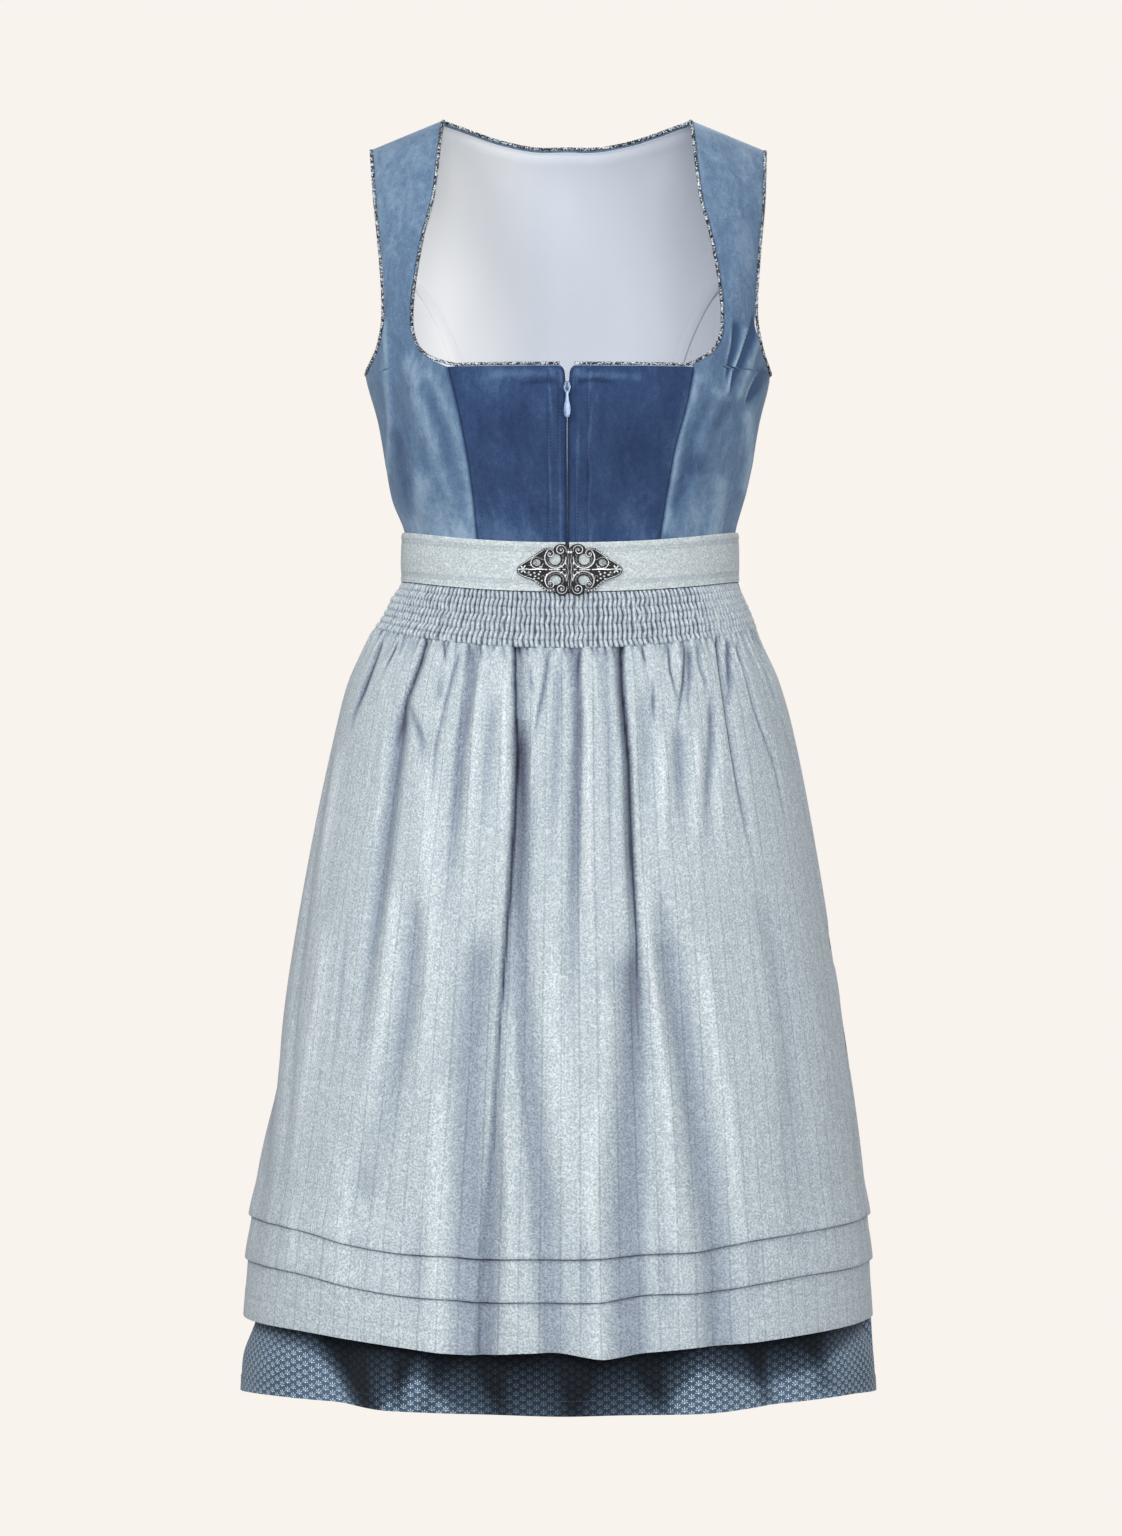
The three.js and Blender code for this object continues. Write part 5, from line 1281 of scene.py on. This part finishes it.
def rounded(loops, thickness, bevel):
    """A flat shape with softened edges, from closed outlines in millimetres, as points and faces."""
    curve = bpy.data.curves.new("outline", "CURVE")
    curve.dimensions = "2D"
    curve.fill_mode = "BOTH"
    curve.extrude = thickness / 2 - bevel
    curve.bevel_depth = bevel
    curve.bevel_resolution = 2
    curve.offset = -bevel
    add_splines(curve, [np.column_stack([loop, np.zeros(len(loop))]) for loop in loops], True)
    source = bpy.data.objects.new("outline", curve)
    bpy.context.scene.collection.objects.link(source)
    mesh = bpy.data.meshes.new_from_object(source)
    made = bmesh.new()
    made.from_mesh(mesh)
    bmesh.ops.remove_doubles(made, verts=made.verts, dist=1e-4)
    bmesh.ops.triangulate(made, faces=[f for f in made.faces if len(f.verts) > 4])
    points = np.array([v.co[:] for v in made.verts])
    made.verts.index_update()
    faces = [[v.index for v in f.verts] for f in made.faces]
    made.free()
    bpy.data.objects.remove(source)
    bpy.data.meshes.remove(mesh)
    return points, faces


def soft_outline(points, step=0.4):
    return smooth_path([(x, y, 0) for x, y in points], step, closed=True)[:, :2]


def upright(points, depth, z):
    """Turns a flat shape up to face the front, at a depth and height."""
    x, y, out = points.T
    return np.stack([x, depth - out, z + y], -1)


plate = [
    (-1.5, 3.5), (1.5, 3.5), (2.3, 2.4), (2.2, -1), (1.7, -3), (0.8, -3.5), (-0.8, -3.5), (-1.7, -3),
    (-2.2, -1), (-2.3, 2.4),
]
points, faces = rounded([soft_outline(plate, 0.3)], SLIDER["thickness"], SLIDER["bevel"])
body = (upright(points, (SLIDER["face"] + SLIDER["back"]) / 2, ZIP["bail"]), faces)
turn = np.radians(np.linspace(-25, 205, 26))
out, up = SLIDER["face"] - BAIL["radius"] * np.sin(turn), ZIP["bail"] + BAIL["radius"] * np.cos(turn)
hoops = [tube(np.stack([0 * turn + x, out, up], -1), BAIL["wire"]) for x in (-BAIL["beside"], BAIL["beside"])]
slider = piece("zip_slider_body", *joined([body, *hoops]), painted.material, sharp=40)
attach(slider, BODY)
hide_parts("zip_slider")

half = [
    (1.7, 0.75), (2.6, 0.72), (2.95, 0.2), (2.8, -1.4), (2.2, -3.6), (1.6, -5), (1.15, -6.4), (1.35, -9),
    (2.1, -13.5), (2.75, -18.5), (2.4, -22.6), (1.2, -24.7),
]
drop = [(0, 0.7), *half, (0, -25), *[(-x, y) for x, y in half[::-1]]]
eye = [
    (1.5, -0.75), (0, -0.7), (-1.5, -0.75), (-1.4, -2.2), (-1.05, -3.4), (0, -3.5), (1.05, -3.4),
    (1.4, -2.2),
]
points, faces = rounded([soft_outline(drop), soft_outline(eye, 0.3)], PULL["thickness"], 0.3)
points[:, 2] *= 1 + 0.25 * bell(points[:, 1] + 19, 4)
pull = piece("zip_pull_drop", upright(points, PULL["axis"], ZIP["bail"]), faces, painted.material, sharp=40)
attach(pull, "pull_tab")
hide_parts("zip_pull_tab")

# ---- Filigree clasp ----
# Two cast and pierced halves that hook together over the waistband's ends: scrolls of wire, beads and
# leaves in old silver, dark in the recesses and rubbed bright on top.

CLASP = {"x": 2, "z": -372.4, "lift": 1.3, "plate": 1.1, "bevel": 0.2, "gap": 0.15}
CLASP_OUTLINE = [
    (0, 17), (2.4, 19.8), (7, 20.8), (11.2, 19), (13, 16.4), (19, 17.6), (24, 14.5), (32, 8.8), (39.4, 3.6),
    (41.4, 0), (39.4, -4.2), (28.4, -9.6), (24, -12.6), (20.6, -16.6), (16.4, -18.4), (12, -17), (10.6, -20),
    (6.4, -21.8), (2.2, -20.6), (0, -17.5),
]
CLASP_OPENINGS = [(11.6, 8.6, 4.5), (11.3, -9.2, 4.5), (25.9, 6, 3.0)]
WIRE = {"rim": 0.75, "scroll": 0.6, "fine": 0.42}


def swirl(x, y, start, stop, first, last, count=30):
    """A spiral from one radius and angle to another, as flat points."""
    share = np.linspace(0, 1, count)
    turn = np.radians(first + (last - first) * share)
    reach = start + (stop - start) * share
    return np.stack([x + reach * np.cos(turn), y + reach * np.sin(turn)], -1)


# Each wire as its flat path and thickness.
CLASP_WIRES = [
    (swirl(11.2, 9.6, 8.3, 8.3, 46, -186, 46), WIRE["rim"]),
    (swirl(7, 15.7, 4.4, 1.2, 200, -330, 44), WIRE["scroll"]),
    (swirl(15.4, 12.8, 3.7, 0.9, 40, 470, 40), WIRE["scroll"]),
    (swirl(11.2, 8.8, 6.1, 6.1, 20, -240, 40), WIRE["fine"]),
    (swirl(10.9, -9.8, 8.3, 8.3, -46, 186, 46), WIRE["rim"]),
    (swirl(6.5, -16.8, 4.4, 1.2, -200, 330, 44), WIRE["scroll"]),
    (swirl(15.2, -12.8, 3.7, 0.9, -40, -470, 40), WIRE["scroll"]),
    (swirl(10.9, -9.4, 6.1, 6.1, -20, 240, 40), WIRE["fine"]),
    (swirl(25.9, 6, 5.2, 4.0, 190, 500, 40), WIRE["scroll"]),
    (swirl(27.4, 6.4, 2.6, 0.7, 330, 40, 26), WIRE["fine"]),
    ([(1.2, -17.4), (0.9, -12), (1.7, -7), (1.1, -2.4), (1.5, 2.2), (0.9, 7), (1.5, 12), (1.1, 16.6)], 0.5),
    ([(18.6, 0.1), (24, 0.5), (30, 0.2), (35.4, 0.4)], 0.8),
    ([(20, 15.9), (24.4, 13.2), (32, 8), (38.6, 3.4), (40.6, 0)], 0.55),
    ([(40.6, 0), (38.8, -3.8), (28.4, -8.9), (23.8, -12)], 0.55), ([(12.6, 16), (16, 17), (20, 15.9)], 0.5),
    ([(12, -16.6), (16.2, -17.8), (20.2, -15.8), (23.8, -12)], 0.5),
    (swirl(4.5, 3.1, 2.3, 0.6, 250, -60, 22), WIRE["fine"]),
    (swirl(4.5, -3.1, 2.3, 0.6, -250, 60, 22), WIRE["fine"]),
    (swirl(21.5, 9.6, 2.2, 0.6, 120, 430, 22), WIRE["fine"]),
    (swirl(21.4, -6.6, 2, 0.6, -120, -430, 22), WIRE["fine"]),
    (swirl(31.6, 4.4, 1.9, 0.5, 60, 380, 20), WIRE["fine"]),
    (swirl(33.4, -3.6, 1.8, 0.5, -60, -380, 20), WIRE["fine"]),
]
# A wreath of small curls stands round each of the two large openings.
for x, y, starts in ((11.2, 9.2, range(-205, 60, 33)), (10.9, -9.6, range(-60, 205, 33))):
    for turn in starts:
        across, up = 6.0 * math.cos(math.radians(turn)), 6.0 * math.sin(math.radians(turn))
        CLASP_WIRES.append((swirl(x + across, y + up, 1.35, 0.3, turn, turn + 330, 12), 0.34))
# Leaves as place, half-length, half-width and turn.
CLASP_LEAVES = [
    (9.4, 0, 2.4, 0.8, 0), (14.6, 0, 2.2, 0.8, 0), (18.4, 0, 1.3, 0.9, 0), (4.4, 0, 1.5, 0.8, 0),
    (12, 0, 0.7, 0.7, 0), (6.6, 2.6, 2, 0.7, 38), (6.6, -2.6, 2, 0.7, -38), (3.2, 5.4, 1.9, 0.7, 66),
    (3.2, -5.4, 1.9, 0.7, -66), (36.4, 0.6, 1.5, 1.2, 0), (38.6, 0.4, 1.5, 0.8, 0),
    (35.2, 2.6, 1.7, 0.8, 118), (37.4, 2.3, 1.5, 0.8, 52), (35.2, -1.8, 1.7, 0.8, -118),
    (37.4, -1.6, 1.5, 0.8, -52), (33.6, 0.5, 1.4, 0.8, 0), (40, 0, 1, 1, 0), (0.95, 14, 1.5, 1.5, 0),
    (17.8, 4.4, 1.8, 0.6, 40), (17.8, -4.2, 1.8, 0.6, -40), (22.6, 2.4, 1.6, 0.6, 20),
]
# Beads as place and radius.
CLASP_BEADS = [
    (27.6, -2.9, 1.15), (30.6, -4.6, 1.15), (27, -5.9, 1.1), (24.2, -4.1, 1.15), (24.4, -7.8, 1.1),
    (27.8, -8.3, 0.95), (21.8, -10, 1.0), (31.9, -2.2, 0.9), (23.2, -1.8, 0.9), (7, 15.7, 0.9),
    (6.5, -16.8, 0.9), (15.4, 12.8, 0.8), (15.2, -12.8, 0.8),
]
# Two rows of fine beads follow the upper and the lower edge.
for path, count in (([(12.8, 17.4), (16.2, 18.2), (20.4, 16.9), (24.6, 14.4), (28.6, 11.6)], 13),
                    ([(12.6, -17.6), (16.4, -18.6), (20.6, -16.6), (23.6, -13.2), (26.4, -10.8)], 12)):
    for x, y in smooth_path([(x, y, 0) for x, y in path], 30 / count)[:, :2][:count]:
        CLASP_BEADS.append((x, y, 0.62))


def on_band(flat):
    """Bends flat points (across, up, out) to lie on the front of the waistband."""
    across, up, out = np.asarray(flat, float).T
    angle = angle_at(CLASP["x"] + across, CLASP["z"] + up)
    z = CLASP["z"] + up
    return form(angle, z) + form_normal(angle, z) * (BAND["out"] + CLASP["lift"] + out)[:, None]


def ball(x, y, long, wide, turned, high=None, rings=6, sides=9):
    """A leaf or bead standing on the plate."""
    lat = np.linspace(0, np.pi, rings + 1)
    lon = np.linspace(0, 2 * np.pi, sides, endpoint=False)
    out = np.repeat(np.sin(lat[1:-1]), sides)
    u, v = (np.concatenate([[0], out * np.tile(turn, rings - 1), [0]]) for turn in (np.cos(lon), np.sin(lon)))
    w = np.concatenate([[1], np.repeat(np.cos(lat[1:-1]), sides), [-1]])
    c, s = math.cos(math.radians(turned)), math.sin(math.radians(turned))
    high = min(long, wide) * 1.15 if high is None else high
    across, up = x + u * long * c - v * wide * s, y + u * long * s + v * wide * c
    points = np.stack([across, up, CLASP["plate"] + 0.25 + w * high], -1)
    faces, last = [], 1 + (rings - 1) * sides
    for k in range(sides):
        nxt = (k + 1) % sides
        faces.append([0, 1 + k, 1 + nxt])
        for r in range(rings - 2):
            a = 1 + r * sides
            faces.append([a + k, a + sides + k, a + sides + nxt, a + nxt])
        faces.append([last, last - sides + nxt, last - sides + k])
    return points, faces


silver = Finish("old_silver")
place = silver.place()
wear_and_painted_shade = silver.noise(place, 700, 3, 0.6)
height = silver.maths("MULTIPLY_ADD", wear_and_painted_shade, 0.5, silver.maths("SUBTRACT", silver.mark("relief"), 0.25))
tarnish = [(0.1, paint(22, 22, 26)), (0.3, paint(74, 76, 80))]
rubbed = [(0.55, paint(176, 178, 180)), (0.85, paint(244, 245, 245))]
silver.set(Base_Color=silver.ramp(height, tarnish + rubbed))
silver.set(Roughness=silver.maths("MULTIPLY_ADD", height, -0.25, 0.6, clamp=True))
silver.set(Metallic=silver.maths("MULTIPLY_ADD", silver.mark("relief"), 0.35, 0.45, clamp=True))
silver.set(Normal=silver.bump(wear_and_painted_shade, 0.2, 0.0003))

for word, side, sign in SIDES:
    outline = soft_outline([(x + CLASP["gap"], y) for x, y in CLASP_OUTLINE], 1.2)
    outline[:, 0] = np.maximum(outline[:, 0], CLASP["gap"])
    holes = [swirl(x, y, r, r, 0, 348, 30) for x, y, r in CLASP_OPENINGS]
    points, faces = rounded([outline, *holes], CLASP["plate"], CLASP["bevel"])
    # Cuts from top to bottom, so that the plate can bend round the waist.
    cut = bmesh.new()
    corners = [cut.verts.new(p) for p in points]
    for face in faces:
        cut.faces.new([corners[i] for i in face])
    for x in np.arange(2, 42, 2.5):
        everything = cut.verts[:] + cut.edges[:] + cut.faces[:]
        bmesh.ops.bisect_plane(cut, geom=everything, plane_co=(x, 0, 0), plane_no=(1, 0, 0))
    cut.verts.index_update()
    points = np.array([v.co[:] for v in cut.verts])
    points[:, 2] += CLASP["plate"] / 2
    shapes = [(points, [[v.index for v in f.verts] for f in cut.faces])]
    cut.free()
    for path, thick in CLASP_WIRES:
        flat = smooth_path(np.column_stack([path, np.full(len(path), CLASP["plate"])]), 0.9)
        taper = 0.75 + 0.25 * np.sin(np.pi * np.linspace(0, 1, len(flat)))
        shapes.append(tube(flat, thick * taper, 7))
    shapes += [ball(*leaf) for leaf in CLASP_LEAVES]
    shapes += [ball(x, y, r, r, 0, r * 0.95) for x, y, r in CLASP_BEADS]
    points, faces = joined(shapes)
    relief = np.clip((points[:, 2] - CLASP["plate"] * 0.95) / 0.9, 0, 1)
    points[:, 0] = sign * np.maximum(points[:, 0], CLASP["gap"])
    if sign < 0:
        faces = [face[::-1] for face in faces]
    made = piece("clasp_" + word, on_band(points), faces, silver.material, marks={"relief": relief}, sharp=45)
    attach(made, BODY)
    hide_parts("buckle_" + word)

# ---- Camera, floor and light ----
# A dress hung at shoulder height over a pale studio floor, with a large soft light over each shoulder
# of the camera.

CAMERA = {"place": (-0.0049, -4.0, -0.5305), "lens": 114.33, "sensor": 36}
FLOOR = {"z": -1.42, "size": 14}
PALE = paint(249, 243, 238)

lens = bpy.data.cameras.new("camera")
lens.lens = CAMERA["lens"]
lens.sensor_width = CAMERA["sensor"]
lens.clip_end = 60
camera = bpy.data.objects.new("camera", lens)
camera.location = CAMERA["place"]
camera.rotation_euler = (math.radians(90), 0, 0)
bpy.context.scene.collection.objects.link(camera)
bpy.context.scene.camera = camera

half = FLOOR["size"] / 2 / MM
low = FLOOR["z"] / MM
floor_finish = Finish("studio_floor", Roughness=1.0, Base_Color=(0, 0, 0, 1), Specular_IOR_Level=0.0)
floor_finish.set(Emission_Color=(*PALE, 1), Emission_Strength=1.0)
corners = [(x * half, y * half, low) for x, y in ((-1, -1), (1, -1), (1, 1), (-1, 1))]
floor = piece("floor", corners, [[0, 1, 2, 3]], floor_finish.material)
floor.visible_diffuse = False
floor.visible_glossy = False

world = bpy.data.worlds.new("studio")
world.use_nodes = True
# The sky behind the dress is pale, and a dimmer, cooler one lights it.
sky = world.node_tree
behind = sky.nodes["Background"]
behind.inputs["Color"].default_value = (*PALE, 1)
around = sky.nodes.new("ShaderNodeBackground")
around.inputs["Color"].default_value = (0.96, 0.98, 1, 1)
around.inputs["Strength"].default_value = 0.4
seen = sky.nodes.new("ShaderNodeLightPath")
either = sky.nodes.new("ShaderNodeMixShader")
sky.links.new(seen.outputs["Is Camera Ray"], either.inputs[0])
sky.links.new(around.outputs[0], either.inputs[1])
sky.links.new(behind.outputs[0], either.inputs[2])
sky.links.new(either.outputs[0], sky.nodes["World Output"].inputs["Surface"])
bpy.context.scene.world = world
bpy.context.scene.view_settings.view_transform = "Standard"

LIGHTS = [
    ("key", (-1.8, -2.6, 1.2), 1.3, 44),
    ("front", (0.3, -3.8, 0.2), 1.6, 58),
    ("fill", (1.8, -2.4, 0.4), 1.8, 9),
    ("back", (0.6, 2.8, 1.2), 1.8, 60),
]
for name, spot, size, power in LIGHTS:
    lamp = bpy.data.lights.new(name, "AREA")
    lamp.size = size
    lamp.energy = power
    made = bpy.data.objects.new(name, lamp)
    made.location = spot
    aim = np.array([0, 0, -0.5]) - np.array(spot)
    tilt = math.acos(-aim[2] / np.linalg.norm(aim))
    made.rotation_euler = (tilt, 0, math.atan2(aim[1], aim[0]) - math.pi / 2)
    bpy.context.scene.collection.objects.link(made)
